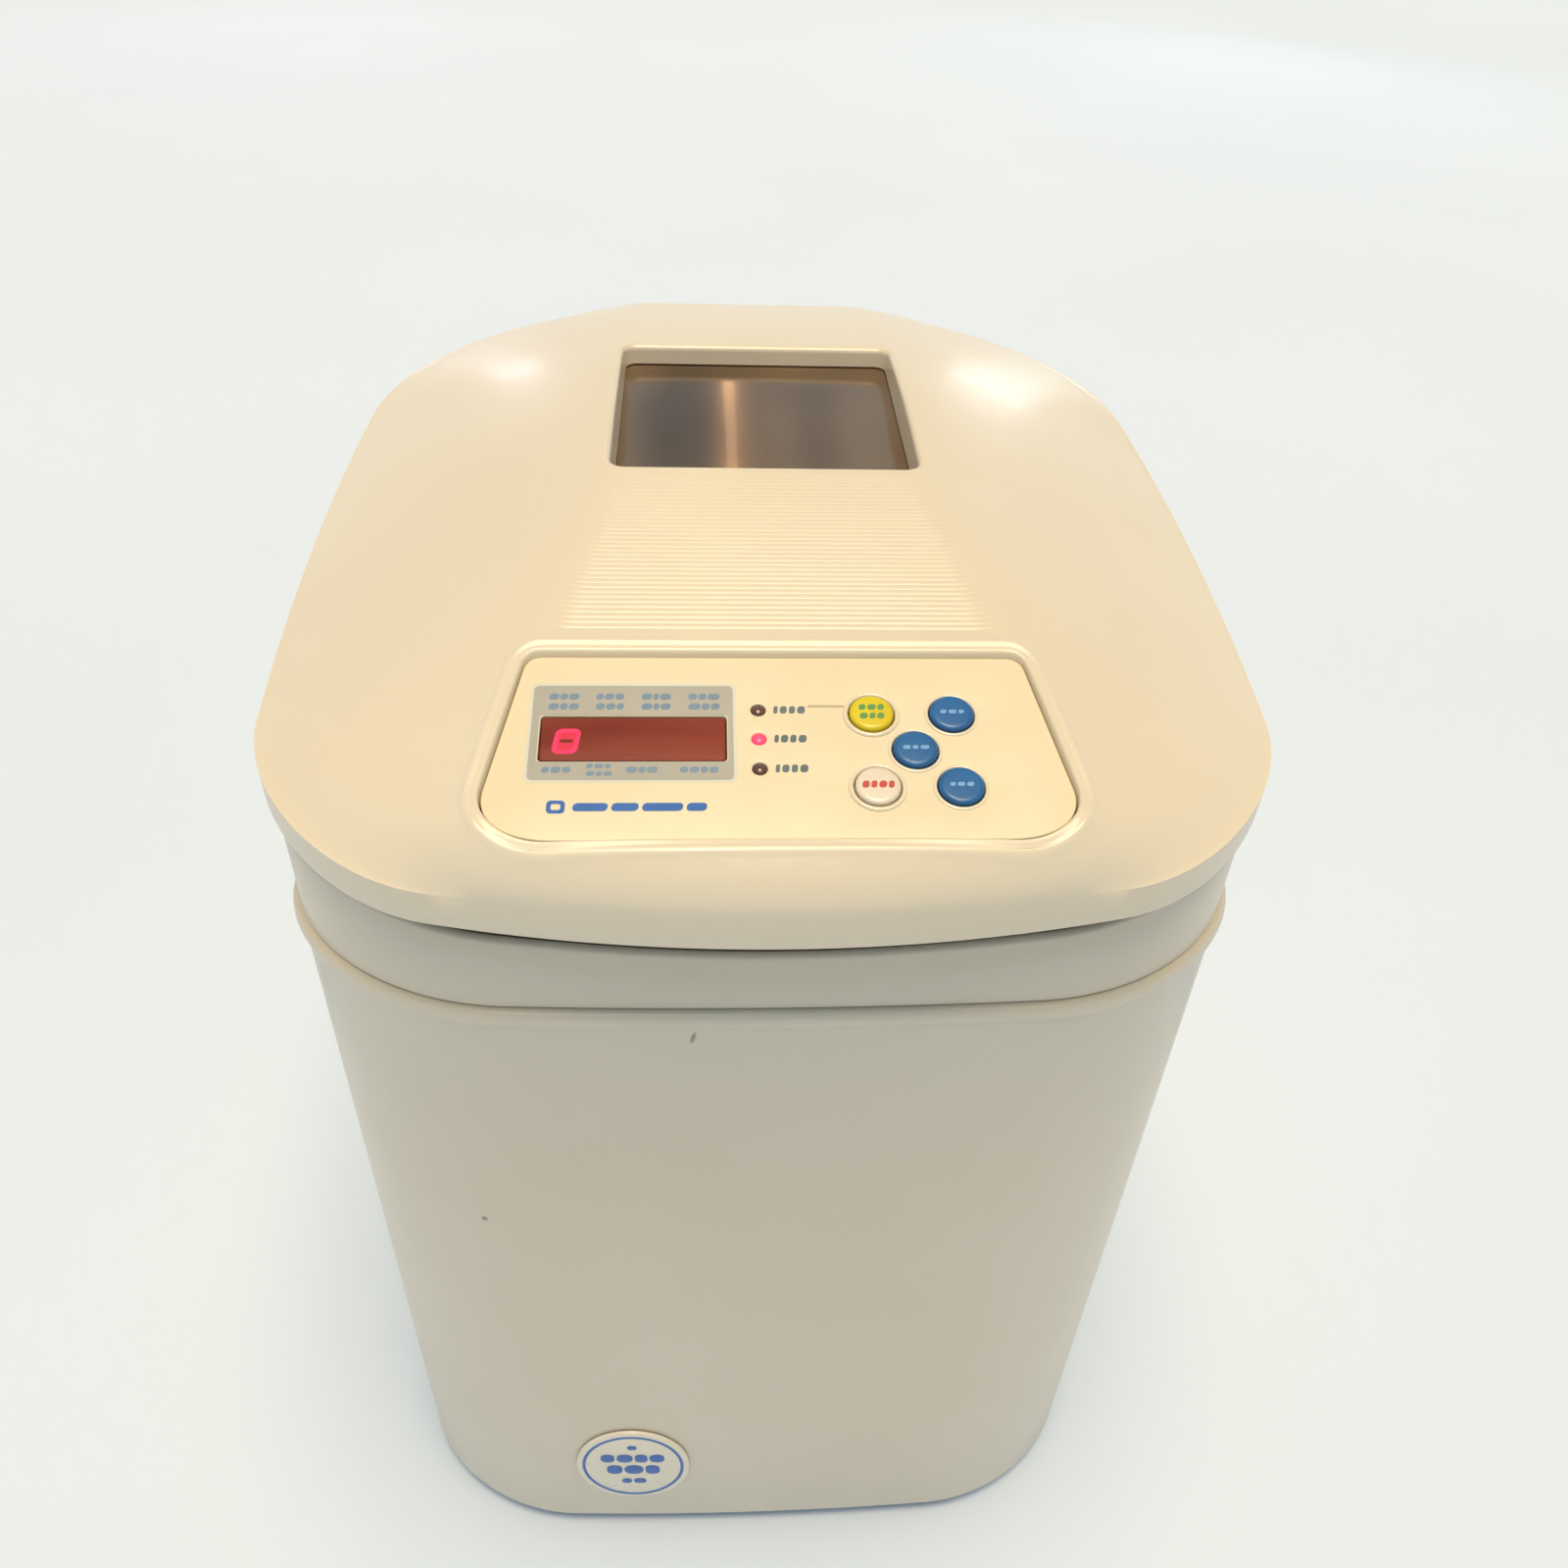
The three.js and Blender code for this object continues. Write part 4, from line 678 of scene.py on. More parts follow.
def lid_surface(x, y, share=None):
    """The lid's top with its window recess, panel recess, bead and ribs."""
    points = np.column_stack([x, y])
    z = lid_base(x, y, share)
    crease = np.interp(y, CREASES[:, 0], CREASES[:, 1])
    end = np.clip((crease - RIBS["margin"] - np.abs(x)) / 1.2, 0, 1)
    phase = np.abs((y - RIBS["front"]) / RIBS["pitch"] % 1 - 0.5) * RIBS["pitch"]
    between = (y > RIBS["front"]) & (y < RIBS["back"])
    z = z - np.where(between, RIBS["depth"] * np.clip(1 - 2 * phase / RIBS["groove"], 0, 1) * end, 0)
    to_window = distance_to(points, WINDOW_LOOP)
    z = z - eased(to_window, WINDOW["edge"])
    down = np.clip(-to_window / WINDOW["draft"], 0, 1)
    z = z + (WINDOW_FLOOR - z) * down
    to_panel = distance_to(points, PANEL_PLAN)
    hump = np.clip(1 - np.abs(to_panel - BEAD["centre"]) / BEAD["half"], 0, 1)
    z = z + BEAD["height"] * hump * hump * (3 - 2 * hump)
    z = z - eased(to_panel - BEAD["gap"], BEAD["edge"])
    pocket = PANEL_Z + (y - PANEL_Y) * math.tan(PANEL_SLOPE) - PANEL_DROP - 1.5
    down = np.clip((BEAD["gap"] - to_panel) / 0.25, 0, 1)
    return z + (pocket - z) * down


def lid_background(step=3.0):
    """Evenly spread points over the lid, clear of its edge roll, recesses and ribs."""
    xs = np.arange(-LID_HIGH[0], LID_HIGH[0], step)
    rows = []
    for k, y in enumerate(np.arange(LID_LOW[1], LID_HIGH[1], step * 0.866)):
        rows.append(np.column_stack([xs + (k % 2) * step / 2, np.full(len(xs), y)]))
    points = np.vstack(rows)
    x, y = points.T
    crease = np.interp(y, CREASES[:, 0], CREASES[:, 1])
    keep = radial_share(x, y) < 1 - ROLL_SHARE - 0.012
    keep &= distance_to(points, WINDOW_LOOP) > WINDOW["edge"] + 1.5
    keep &= distance_to(points, PANEL_PLAN) > BEAD["centre"] + BEAD["half"] + 1.5
    ribbed = (y > RIBS["front"] - 1.5) & (y < RIBS["back"] + 1.5)
    keep &= ~(ribbed & (np.abs(x) < crease - RIBS["margin"] + 1.5))
    keep &= np.abs(np.abs(x) - crease) > 1.2
    return points[keep]


def rib_lines():
    lines = []
    count = int((RIBS["back"] - RIBS["front"]) / RIBS["pitch"])
    for k in range(count):
        middle = RIBS["front"] + (k + 0.5) * RIBS["pitch"]
        for y in (middle - RIBS["groove"] / 2, middle, middle + RIBS["groove"] / 2):
            half = float(np.interp(y, CREASES[:, 0], CREASES[:, 1])) - RIBS["margin"]
            inner = np.linspace(-half + 1.2, half - 1.2, 24)
            xs = np.concatenate([[-half], inner, [half]])
            lines.append((np.column_stack([xs, np.full(len(xs), y)]), False))
    return lines


def crease_lines():
    """Lines beside the creases, where the surface starts to fall."""
    lines = []
    for side in (-1, 1):
        for outside in (0.0, 0.8, 2.0):
            for y0, y1 in ((-99, -36), (56, 148)):
                y = np.arange(y0, y1, 3.0)
                x = side * (np.interp(y, CREASES[:, 0], CREASES[:, 1]) + outside)
                lines.append((np.column_stack([x, y]), False))
    return lines


def lid_skin():
    angles = quarter(9)
    shares = [1 - ROLL_SHARE * (1 - math.cos(a)) for a in angles]
    loops = [(LID_OUTLINE * share, True) for share in shares[1:5]]
    loose = []
    for share in shares[5:]:
        ring = LID_OUTLINE * share
        loose.append(ring[distance_to(ring, PANEL_PLAN) > BEAD["centre"] + BEAD["half"] + 0.8])
    count = len(LID_OUTLINE)
    floor = subdivided(offset(WINDOW_LOOP, -WINDOW["draft"]), 3)
    pocket = offset(PANEL_PLAN, BEAD["gap"] - 0.25)
    window = subdivided(WINDOW_LOOP, 3)
    lines = [*loops]
    for angle in quarter(6):
        lines.append((offset(window, WINDOW["edge"] * (1 - math.sin(angle))), True))
    for distance in (-0.2, -0.4):
        lines.append((offset(window, distance), True))
    for distance in (1.8, 2.2, 2.7, 3.3, 3.9, 4.4, 4.8):
        lines.append((offset(PANEL_PLAN, distance), True))
    for angle in quarter(4):
        lines.append((offset(PANEL_PLAN, BEAD["gap"] + BEAD["edge"] * (1 - math.sin(angle))), True))
    lines += rib_lines() + crease_lines()
    background = np.vstack([lid_background(), *loose])
    flat, faces, source = fill(LID_OUTLINE, [floor, pocket], background, lines)
    share = radial_share(flat[:, 0], flat[:, 1])
    first = count + len(floor) + len(pocket)
    share[(source >= 0) & (source < count)] = 1.0
    for level, value in enumerate(shares[1:5]):
        start = first + level * count
        share[(source >= start) & (source < start + count)] = value
    z = lid_surface(flat[:, 0], flat[:, 1], share)
    top = (np.column_stack([flat, z]), faces)
    skirt = [at(LID_OUTLINE, LID_EDGE), at(LID_OUTLINE, (LID_EDGE + LID_BOTTOM) / 2)]
    for angle in quarter(4):
        inset = 1.1 * (1 - math.cos(angle))
        skirt.append(at(outline(LID, -inset), LID_BOTTOM + 1.1 - 1.1 * math.sin(angle)))
    made = mesh_object("lid_skin", *joined(top, loft(skirt, caps=False)))
    solid = made.modifiers.new("thickness", "SOLIDIFY")
    solid.thickness = 2.0 * MM
    solid.offset = -1
    return finish_piece(made, "lid", MAT["lid"], ["lid_shell"], angle=40)


lid_skin()

# ---------- Control panel ----------
PANEL_TOP = -PANEL_DROP
PANEL_BOTTOM = PANEL_TOP - 2.4
DISPLAY = {"x": -31.3, "y": 1.7, "half_width": 20, "half_height": 6.2}
LED_X = -4.4
LED_Y = {"light": 9.6, "medium": 1.5, "dark": -6.6}
LED_RADIUS = 1.4
BUTTON = {"radius": 4.8, "flange": 1.2, "rise": 1.3, "edge": 0.75, "flat": 3.7}
BUTTONS = {
    "start": (20.31, 8.14, "yellow", "yellow_cap"),
    "stop": (20.31, -11.74, "white", "white_cap"),
    "timer_up": (37.99, 8.14, "blue", "blue_cap"),
    "select": (29.15, -1.8, "blue", "blue_cap"),
    "timer_down": (37.99, -11.74, "blue", "blue_cap"),
}
INK = 0.06


def panel_object(name, parts):
    vertices, faces = joined(*parts)
    return mesh_object(name, on_panel(vertices), faces)


def ink(outer, holes=(), level=PANEL_TOP, height=INK):
    """A thin printed shape on the panel. Its underside is sunk into what it is printed on."""
    return slab(outer, holes, level - 0.03, level + height, edge=0.03, steps=1)


def dash(x, y, width, height, lean=0.0):
    """A rounded bar that stands for printed text."""
    radius = 0.42 * min(width, height)
    loop = rounded_rectangle(x - width / 2, x + width / 2, y - height / 2, y + height / 2, radius, 3)
    return loop + np.column_stack([(loop[:, 1] - y) * lean, np.zeros(len(loop))])


def dashes(x, y, widths, height, gap=0.35, lean=0.0):
    """A row of bars, centred on a point."""
    total = sum(widths) + gap * (len(widths) - 1)
    left = x - total / 2
    row = []
    for width in widths:
        row.append(dash(left + width / 2, y, width, height, lean))
        left += width + gap
    return row


def make_panel():
    holes = [
        rounded_rectangle(
            DISPLAY["x"] - DISPLAY["half_width"], DISPLAY["x"] + DISPLAY["half_width"],
            DISPLAY["y"] - DISPLAY["half_height"], DISPLAY["y"] + DISPLAY["half_height"], 0.8, 4,
        )
    ]
    holes += [circle(LED_X, y, LED_RADIUS + 0.25, 24) for y in LED_Y.values()]
    holes += [circle(x, y, BUTTON["radius"] + 0.35, 40) for x, y, _, _ in BUTTONS.values()]
    plate = slab(offset(PANEL_LOOP, -0.05), holes, PANEL_BOTTOM, PANEL_TOP, edge=0.35, steps=4)
    rims = []
    for name, (x, y, _, _) in BUTTONS.items():
        inner = BUTTON["radius"] + 0.36
        height, width = (0.62, 1.15) if name in ("start", "stop") else (0.34, 0.85)
        profile = [(inner, PANEL_TOP - 0.3)]
        for i in range(9):
            angle = math.pi * (1 - i / 8)
            radius = inner + width / 2 * (1 + math.cos(angle))
            profile.append((radius, PANEL_TOP + height * math.sin(angle)))
        profile.append((inner + width, PANEL_TOP - 0.3))
        rims.append(turned(profile, x, y, 48))
    made = panel_object("panel_plate", [plate])
    finish_piece(made, "lid", MAT["overlay"], ["control_panel"], angle=30)
    made = panel_object("panel_rims", rims)
    finish_piece(made, "lid", MAT["rim"], angle=60)


def make_print():
    frame_box = (-53.2, -9.9, -9.6, 16.4)
    window = (-51.6, -11.0, -4.75, 8.1)
    outer = rounded_rectangle(*frame_box, 1.2, 4)
    inner = rounded_rectangle(*window, 0.8, 4)
    rim_outer = rounded_rectangle(*(np.array(frame_box) + (-0.7, 0.7, -0.7, 0.7)), 1.6, 4)
    pieces = [
        ("print_field", MAT["print_grey"], [ink(outer, [inner])]),
        ("print_border", MAT["print_pale"], [ink(rim_outer, [outer], height=0.04)]),
    ]
    top = PANEL_TOP + INK
    labels = []
    for column, x in enumerate((-46.6, -36.6, -26.6, -16.2)):
        widths = ((2.1, 1.6, 2.2), (1.5, 2.0, 1.9), (2.2, 1.2, 2.3), (1.9, 1.7, 2.6))[column]
        labels += dashes(x, 13.3, widths, 1.75, 0.3, 0.12)
        labels += dashes(x, 10.5, widths[::-1], 1.75, 0.3, 0.12)
    labels += dashes(-47.2, -6.9, (1.6, 2.1, 1.8), 1.6, 0.3, 0.12)
    labels += dashes(-38.4, -5.9, (1.4, 1.9, 1.2), 1.2, 0.3, 0.12)
    labels += dashes(-38.2, -7.9, (1.7, 1.3, 1.8), 1.2, 0.3, 0.12)
    labels += dashes(-29.3, -6.9, (2.3, 1.5, 2.2), 1.6, 0.3, 0.12)
    labels += dashes(-17.2, -6.9, (1.7, 2.0, 1.6, 1.9), 1.6, 0.3, 0.12)
    pieces.append(("print_labels", MAT["print_slate"], [ink(loop, level=top) for loop in labels]))
    beside = []
    for y in LED_Y.values():
        beside += dashes(2.4, y, (0.9, 1.5, 1.3, 1.7), 2.1, 0.5, 0.1)
    pieces.append(("print_lamps", MAT["print_dark"], [ink(loop) for loop in beside]))
    line = rounded_rectangle(6.4, 14.6, 10.3, 10.95, 0.3, 3)
    pieces.append(("print_line", MAT["print_brown"], [ink(line)]))
    bar = [rounded_rectangle(-48.6, -44.8, -18.2, -14.9, 0.9, 4)]
    bar += dashes(-29.4, -16.6, (7.2, 5.6, 8.4, 4.2), 2.1, 0.75, 0.15)
    inside_square = rounded_rectangle(-47.7, -45.7, -17.3, -15.8, 0.4, 3)
    parts = [ink(bar[0], [inside_square])] + [ink(loop) for loop in bar[1:]]
    pieces.append(("print_bar", MAT["print_blue"], parts))
    for name, paint, parts in pieces:
        finish_piece(panel_object(name, parts), "lid", paint, angle=0)


def make_display():
    x0, x1 = (DISPLAY["x"] + side * (DISPLAY["half_width"] - 0.3) for side in (-1, 1))
    y0, y1 = (DISPLAY["y"] + side * (DISPLAY["half_height"] - 0.3) for side in (-1, 1))
    top = PANEL_TOP - 0.25
    loop = rounded_rectangle(x0, x1, y0, y1, 0.7, 4)
    made = panel_object("display_window", [slab(loop, [], PANEL_BOTTOM + 0.2, top, edge=0.25, steps=3)])
    finish_piece(made, "lid", MAT["lens"], ["display_lens"], angle=30)
    digit = rounded_rectangle(-48.2, -42.8, -2.4, 4.4, 1.5, 8)
    middle = rounded_rectangle(-47.3, -43.7, -1.4, 3.4, 0.9, 6)
    core = rounded_rectangle(-46.9, -44.1, 0.6, 1.5, 0.4, 4)

    def lean(loop):
        return loop + np.column_stack([(loop[:, 1] - 1.0) * 0.13, np.zeros(len(loop))])

    level = top - 0.03
    made = panel_object("digit_line", [ink(lean(digit), [lean(middle)], level=level, height=0.08)])
    finish_piece(made, "lid", MAT["digit"], angle=0)
    made = panel_object("digit_glow", [ink(lean(middle), [lean(core)], level=level, height=0.05)])
    finish_piece(made, "lid", MAT["digit_dim"], angle=0)


def make_lamps():
    for name, y in LED_Y.items():
        profile = [(0, PANEL_BOTTOM - 5), (LED_RADIUS, PANEL_BOTTOM - 5), (LED_RADIUS, PANEL_TOP - 0.5)]
        for angle in quarter(6)[1:]:
            profile.append((LED_RADIUS * math.cos(angle), PANEL_TOP - 0.5 + 0.78 * math.sin(angle)))
        profile[-1] = (0, PANEL_TOP + 0.28)
        lit = name == "medium"
        made = panel_object(f"lamp_{name}", [turned(profile, LED_X, y, 32)])
        slot = "lamp_on" if lit else "lamp_off"
        finish_piece(made, "lid", MAT[slot], [f"led_{name}"], angle=40)


# Marks on the buttons: the paint, then for each row its height on the cap, its bars' widths and its size.
BUTTON_MARKS = {
    "start": ("print_green", ((1.25, (1.5, 1.9, 1.4), 1.7, 0.35), (-1.2, (1.8, 1.3, 1.6), 1.7, 0.35))),
    "stop": ("print_red", ((0, (1.5, 1.3, 1.7, 1.2), 1.9, 0.35),)),
    "timer_up": ("print_sky", ((0, (1.4, 1.8, 1.2), 1.1, 0.4),)),
    "select": ("print_sky", ((0, (1.7, 1.3, 1.9), 1.1, 0.4),)),
    "timer_down": ("print_sky", ((0, (1.2, 1.6, 1.5), 1.1, 0.4),)),
}


def button_profile():
    """A push button's profile: a flange under the panel and a cap with a rounded edge."""
    radius, edge, flat = BUTTON["radius"], BUTTON["edge"], BUTTON["flat"]
    top = PANEL_TOP + BUTTON["rise"]
    rim = radius + BUTTON["flange"] - 0.05
    profile = [(0, PANEL_BOTTOM - 1.45), (rim - 0.15, PANEL_BOTTOM - 1.45)]
    profile += [(rim, PANEL_BOTTOM - 1.3), (rim, PANEL_BOTTOM - 0.45)]
    profile += [(radius, PANEL_BOTTOM - 0.4), (radius, top - edge)]
    for angle in quarter(6)[1:]:
        across = (radius - flat) * (1 - math.cos(angle))
        profile.append((radius - across, top - edge + (edge - 0.05) * math.sin(angle)))
    return profile + [(flat * 0.5, top - 0.02), (0, top - 0.01)]


def make_buttons():
    level = PANEL_TOP + BUTTON["rise"] - 0.04
    for name, (x, y, tone, slot) in BUTTONS.items():
        body = f"{name}_button"
        made = panel_object(f"cap_{name}", [turned(button_profile(), x, y, 56)])
        finish_piece(made, body, MAT[tone], [f"button_{name}"], angle=40)
        paint, rows = BUTTON_MARKS[name]
        bars = [bar for up, widths, height, gap in rows for bar in dashes(0, up, widths, height, gap, 0.15)]
        parts = [ink(bar + (x, y), level=level, height=0.04) for bar in bars]
        finish_piece(panel_object(f"mark_{name}", parts), body, MAT[paint], angle=0)


make_panel()
make_print()
make_display()
make_lamps()
make_buttons()


# ---------- Window ----------
def make_window():
    low, high = box_mm("window_glass")
    loop = rounded_rectangle(low[0], high[0], low[1], high[1], WINDOW["corner"] + 3, 8)
    vertices, faces = slab(loop, [], low[2], high[2], edge=0.4, steps=3)
    made = mesh_object("window_pane", vertices, faces)
    finish_piece(made, "lid", MAT["glass"], ["window_glass"], angle=30)


make_window()


# ---------- Housing ----------
OVEN = {"y": 32.5, "half_width": 92, "half_depth": 97.5, "radius": 30}
NOTCH = {"x": 38.8, "half_width": 11.8, "front": 146, "bottom": 290}
VENTS = {"count": 8, "pitch": 10, "half_width": 1.5, "low": 50, "high": 95}
CORD_HOLE = {"x": -30, "z": 30, "radius": 8.5}


def cut_away(obj, cutter_parts):
    """Cuts closed shapes out of an object and keeps the result as its mesh."""
    cutter = mesh_object("cutter", *joined(*cutter_parts))
    tool = obj.modifiers.new("cut", "BOOLEAN")
    tool.object = cutter
    tool.operation = "DIFFERENCE"
    tool.solver = "EXACT"
    bpy.context.view_layer.update()
    result = bpy.data.meshes.new_from_object(obj.evaluated_get(bpy.context.evaluated_depsgraph_get()))
    obj.modifiers.remove(tool)
    old = obj.data
    obj.data = result
    result.name = obj.name
    bpy.data.meshes.remove(old)
    bpy.data.objects.remove(cutter)


def along_y(loop, y0, y1):
    """A prism of a loop in the XZ plane, between two depths."""
    rings = [np.column_stack([loop[:, 0], np.full(len(loop), y), loop[:, 1]]) for y in (y0, y1)]
    return loft(rings)


def make_shell():
    low = SHELL_LOW[2]
    bead, proud, body = 2.5, 0.6, -0.9
    foot = 2.2
    rings = []
    for angle in quarter(5):
        inset = foot * (1 - math.sin(angle))
        rings.append(at(outline(HOUSING, body - inset), low + foot * (1 - math.cos(angle))))
    for share in (0.25, 0.5, 0.75):
        rings.append(at(outline(HOUSING, body), low + foot + share * (SHELL_TOP - low - foot)))
    base = SHELL_TOP - 2 * bead - 0.9
    rings.append(at(outline(HOUSING, body), base))
    rings.append(at(outline(HOUSING, body + 0.15), base + 0.5))
    rings.append(at(outline(HOUSING, body + 0.6), base + 0.8))
    for i in range(1, 10):
        angle = math.pi * (-0.5 + i / 10) * 0.94
        grow = proud - bead * 0.55 * (1 - math.cos(angle))
        rings.append(at(outline(HOUSING, grow), SHELL_TOP - bead + bead * math.sin(angle)))
    rings.append(at(outline(HOUSING, proud - bead * 0.55 - 0.4), SHELL_TOP))
    rings.append(at(outline(HOUSING, -WALL), SHELL_TOP - 0.1))
    rings.append(at(outline(HOUSING, -WALL), low + WALL))
    rings.append(at(outline(HOUSING, -WALL - 2), low))
    made = mesh_object("shell_skin", *loft(rings, closed=True))
    cutters = []
    middle = (VENTS["count"] - 1) / 2
    back = HOUSING["back"]
    for k in range(VENTS["count"]):
        x, half = (k - middle) * VENTS["pitch"], VENTS["half_width"]
        vent = rounded_rectangle(x - half, x + half, VENTS["low"], VENTS["high"], half - 0.05, 6)
        cutters.append(along_y(vent, back - 15, back + 15))
    hole = circle(CORD_HOLE["x"], CORD_HOLE["z"], CORD_HOLE["radius"], 40)
    cutters.append(along_y(hole, back - 15, back + 15))
    cut_away(made, cutters)
    finish_piece(made, "housing", MAT["shell"], ["outer_shell"], angle=40)


FINGER = {"depth": 10.6, "reach": 114, "power": 1.5, "edge": 2.4}
RIM = {"setback": 1.5, "wall": 3.1, "neck": 2.6, "shoulder": 1.6, "mouth": 1.1, "thick": 2.5}


def oven_loop(grow, steps=14):
    x, y = OVEN["half_width"] + grow, OVEN["half_depth"] + grow
    return rounded_rectangle(-x, x, OVEN["y"] - y, OVEN["y"] + y, OVEN["radius"] + grow, steps)


def finger_dip(ring):
    """How far the band's top edge dips for the fingers: most in the front's middle."""
    share = np.clip(1 - (ring[:, 0] / FINGER["reach"]) ** 2, 0, 1) ** FINGER["power"]
    return np.where(ring[:, 1] < -90, FINGER["depth"] * share, 0)


def make_neck():
    """A dark strip in the step under the lid's lip: painted shadow of the gap under the lid, tallest where
    the band's top edge dips.
    """
    face = -RIM["setback"] - RIM["neck"]
    inner, outer = outline(HOUSING, face + 0.15), outline(HOUSING, face + 1.1)
    rings = []
    for ring in (inner, outer):
        rings.append(np.column_stack([ring, DECK_TOP - FINGER["edge"] - finger_dip(ring) + 0.05]))
    for ring in (outer, inner):
        rings.append(at(ring, DECK_TOP - 0.9))
    made = mesh_object("rim_neck", *loft(rings, closed=True))
    finish_piece(made, "housing", MAT["gap"], angle=40)


def make_rim():
    """The band under the lid with its deck, open over the oven and notched for the hinges."""
    setback, wall, neck, shoulder, mouth, thick = (
        RIM[k] for k in ("setback", "wall", "neck", "shoulder", "mouth", "thick")
    )
    low = box_mm("top_rim")[0][2]
    outer = [at(outline(HOUSING, -WALL - 0.4), low), at(outline(HOUSING, -WALL - 0.4), SHELL_TOP - 0.3)]
    outer.append(at(outline(HOUSING, -setback - 0.5), SHELL_TOP + 0.2))
    outer.append(at(outline(HOUSING, -setback), SHELL_TOP + 0.7))
    for angle in quarter(5):
        inset = setback + shoulder * (1 - math.cos(angle))
        ring = outline(HOUSING, -inset)
        top = DECK_TOP - FINGER["edge"] - finger_dip(ring) - shoulder + shoulder * math.sin(angle)
        outer.append(np.column_stack([ring, top]))
    ring = outline(HOUSING, -setback - neck)
    outer.append(np.column_stack([ring, DECK_TOP - FINGER["edge"] - finger_dip(ring)]))
    outer.append(at(ring, DECK_TOP - 0.6))
    outer.append(at(outline(HOUSING, -setback - neck - 0.5), DECK_TOP))
    inner = [at(outline(HOUSING, -setback - wall), z) for z in (low, DECK_TOP - thick)]
    hole = []
    for angle in quarter(5):
        grow = mouth * (1 - math.sin(angle))
        hole.append(at(oven_loop(grow), DECK_TOP - mouth + mouth * math.cos(angle)))
    hole.append(at(oven_loop(0), DECK_TOP - thick))
    top_flat, top_faces, _ = fill(outline(HOUSING, -setback - neck - 0.5), [oven_loop(mouth)])
    low_flat, low_faces, _ = fill(outline(HOUSING, -setback - wall), [oven_loop(0)])
    foot = loft([outer[0], inner[0]], caps=False)
    parts = [loft(outer, caps=False), loft(inner, caps=False), loft(hole, caps=False), foot]
    parts += [(at(top_flat, DECK_TOP), top_faces), (at(low_flat, DECK_TOP - thick), low_faces)]
    made = mesh_object("rim_band", *joined(*parts))
    cutters = []
    for side in (-1, 1):
        x = side * NOTCH["x"]
        loop = rounded_rectangle(
            x - NOTCH["half_width"], x + NOTCH["half_width"], NOTCH["bottom"], DECK_TOP + 20, 1.5, 4,
        )
        cutters.append(along_y(loop, NOTCH["front"], NOTCH["front"] + 30))
    cut_away(made, cutters)
    finish_piece(made, "housing", MAT["shell"], ["top_rim"], angle=40)


BADGE = {"x": -41, "z": 47.5, "half_width": 18.9, "half_height": 23.9}
BADGE_ROWS = (
    (13.5, (3.2,), 3.0),
    (5.8, (4.6, 5.4, 4.2, 5.0), 5.6),
    (-2.4, (5.2, 6.4, 4.8), 6.2),
    (-10.8, (3.4, 4.2), 3.4),
)


def front_at(x, grow=0.0):
    """Depth of the housing's front at a distance from the middle."""
    points = half_outline(HOUSING, grow)
    points = points[points[:, 1] < 0]
    return np.interp(np.abs(x), points[:, 0], points[:, 1])


def ellipse(share, count=72):
    angle = 2 * math.pi * np.arange(count) / count
    x = BADGE["x"] + BADGE["half_width"] * share * np.cos(angle)
    return np.column_stack([x, BADGE["z"] + BADGE["half_height"] * share * np.sin(angle)])


def front_patch(outer, holes, low, high, name, paint, stands_for=()):
    """A thin patch on the housing's curved front, from a loop in the XZ plane."""
    vertices, faces = slab(outer, holes, low, high, edge=min(0.35, (high - low) / 2), steps=3)
    vertices = np.asarray(vertices)
    y = front_at(vertices[:, 0]) - vertices[:, 2]
    made = mesh_object(name, np.column_stack([vertices[:, 0], y, vertices[:, 1]]), faces)
    return finish_piece(made, "housing", paint, stands_for, angle=35)


def make_badge():
    rise = front_at(0.0) - box_mm("front_badge")[0][1]
    top = min(0.5, float(rise) + 0.35)
    front_patch(ellipse(1.0), [], -0.45, top, "badge_plate", MAT["badge"], ["front_badge"])
    front_patch(ellipse(0.90), [ellipse(0.845)], top - 0.02, top + 0.05, "badge_ring", MAT["print_blue"])
    bars = []
    for up, widths, height in BADGE_ROWS:
        bars += dashes(BADGE["x"], BADGE["z"] + up, widths, height, 0.7)
    for k, bar in enumerate(bars):
        front_patch(subdivided(bar, 2), [], top - 0.02, top + 0.04, f"badge_mark_{k}", MAT["print_blue"])


make_shell()
make_rim()
make_neck()
make_badge()


# ---------- Oven, pan and drive ----------
ROUND_NODES = (
    "heating_element", "pan_handle", "temperature_sensor", "cord_bushing", "motor_body", "drive_shaft",
)


def refine(node, paint, bevel=0.5, segments=3):
    """Keeps a CAD node in sight, with its corners rounded and its surface given a material."""
    angle = 62 if node in ROUND_NODES or node.startswith("foot") else 32
    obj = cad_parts[node]
    obj.data.materials.clear()
    obj.data.materials.append(paint)
    weld = obj.modifiers.new("weld", "WELD")
    weld.merge_threshold = 2e-6
    if bevel:
        edge = obj.modifiers.new("bevel", "BEVEL")
        edge.width = bevel * MM
        edge.segments = segments
        edge.limit_method = "ANGLE"
        edge.angle_limit = math.radians(angle)
        edge.use_clamp_overlap = True
    shade_smooth(obj, angle)


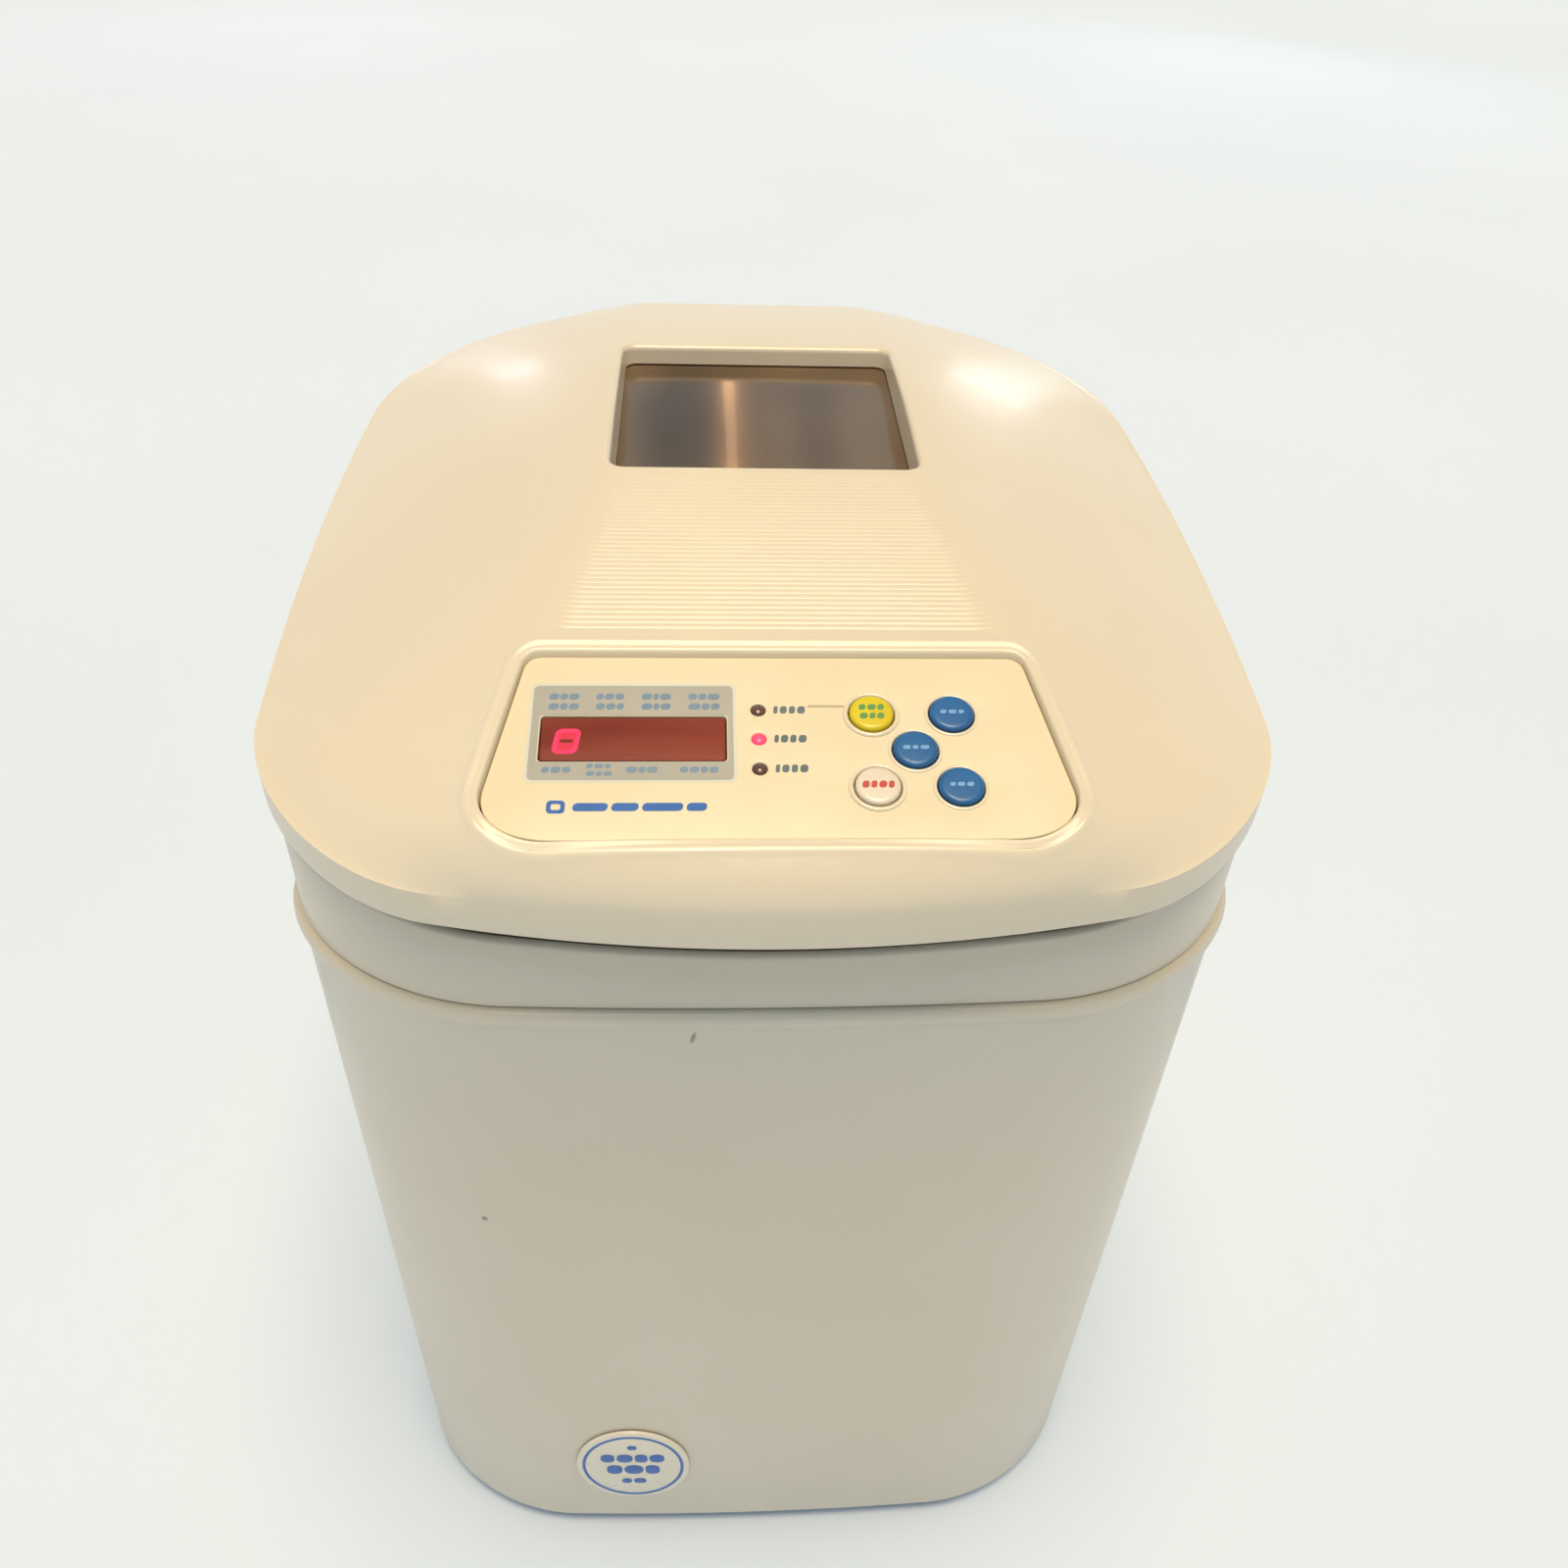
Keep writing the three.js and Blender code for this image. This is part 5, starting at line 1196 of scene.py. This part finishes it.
REFINED = {
    "base_plate": ("black", 0.5),
    "foot_front_left": ("rubber", 0.8),
    "foot_front_right": ("rubber", 0.8),
    "foot_rear_left": ("rubber", 0.8),
    "foot_rear_right": ("rubber", 0.8),
    "base_screw_1": ("steel", 0.3),
    "base_screw_2": ("steel", 0.3),
    "base_screw_3": ("steel", 0.3),
    "base_screw_4": ("steel", 0.3),
    "cord_bushing": ("rubber", 0.5),
    "chassis": ("steel", 0.3),
    "oven_chamber": ("tin", 0.5),
    "heating_element": ("sheath", 0.0),
    "temperature_sensor": ("steel", 0.4),
    "pan_clip_left": ("steel", 0.3),
    "pan_clip_right": ("steel", 0.3),
    "shaft_bearing": ("steel", 0.4),
    "drive_belt": ("rubber", 0.3),
    "motor_body": ("black", 0.8),
    "motor_capacitor": ("black", 0.6),
    "power_board": ("board", 0.2),
    "transformer": ("copper", 0.5),
    "hinge_bracket_left": ("steel", 0.3),
    "hinge_bracket_right": ("steel", 0.3),
    "hinge_pin_left": ("steel", 0.3),
    "hinge_pin_right": ("steel", 0.3),
    "hinge_arm_left": ("lid", 0.7),
    "hinge_arm_right": ("lid", 0.7),
    "lid_liner": ("tin", 0.5),
    "lid_gasket": ("silicone", 0.7),
    "window_seal": ("silicone", 0.4),
    "display_module": ("black", 0.3),
    "control_board": ("board", 0.2),
    "motor_shaft": ("steel", 0.3),
    "motor_pulley": ("black", 0.3),
    "motor_fan": ("black", 0.3),
    "drive_shaft": ("steel", 0.3),
    "drive_pulley": ("black", 0.4),
    "drive_coupler": ("black", 0.5),
    "bread_pan": ("coating", 0.5),
    "pan_base_ring": ("steel", 0.5),
    "pan_bearing": ("steel", 0.4),
    "pan_handle": ("steel", 0.0),
    "pan_shaft": ("steel", 0.3),
    "kneading_paddle": ("coating", 0.6),
}
for node_name, (paint_name, rounding) in REFINED.items():
    refine(node_name, MAT[paint_name], rounding)

# ---------- Floor ----------
def make_floor():
    """A pale floor that curves up into a pale wall far behind and around the machine."""
    rise = [(0.5, 0), (4000, 0), (5600, 0), (6300, 150), (7000, 700)]
    rise += [(7600, 1700), (8000, 3200), (8100, 5500)]
    vertices, faces = turned([(0, 0), *rise], 0, 0, 96)
    obj = mesh_object("floor", vertices, faces)
    for face in obj.data.polygons:
        face.use_smooth = True
    paper = material(
        "floor_paper", (0.64, 0.73, 0.86), (0.62, 0.71, 0.84), 0.8, scale=2, bump=0.02, grain=200,
        specular=0.2,
    )
    obj.data.materials.append(paper)


make_floor()
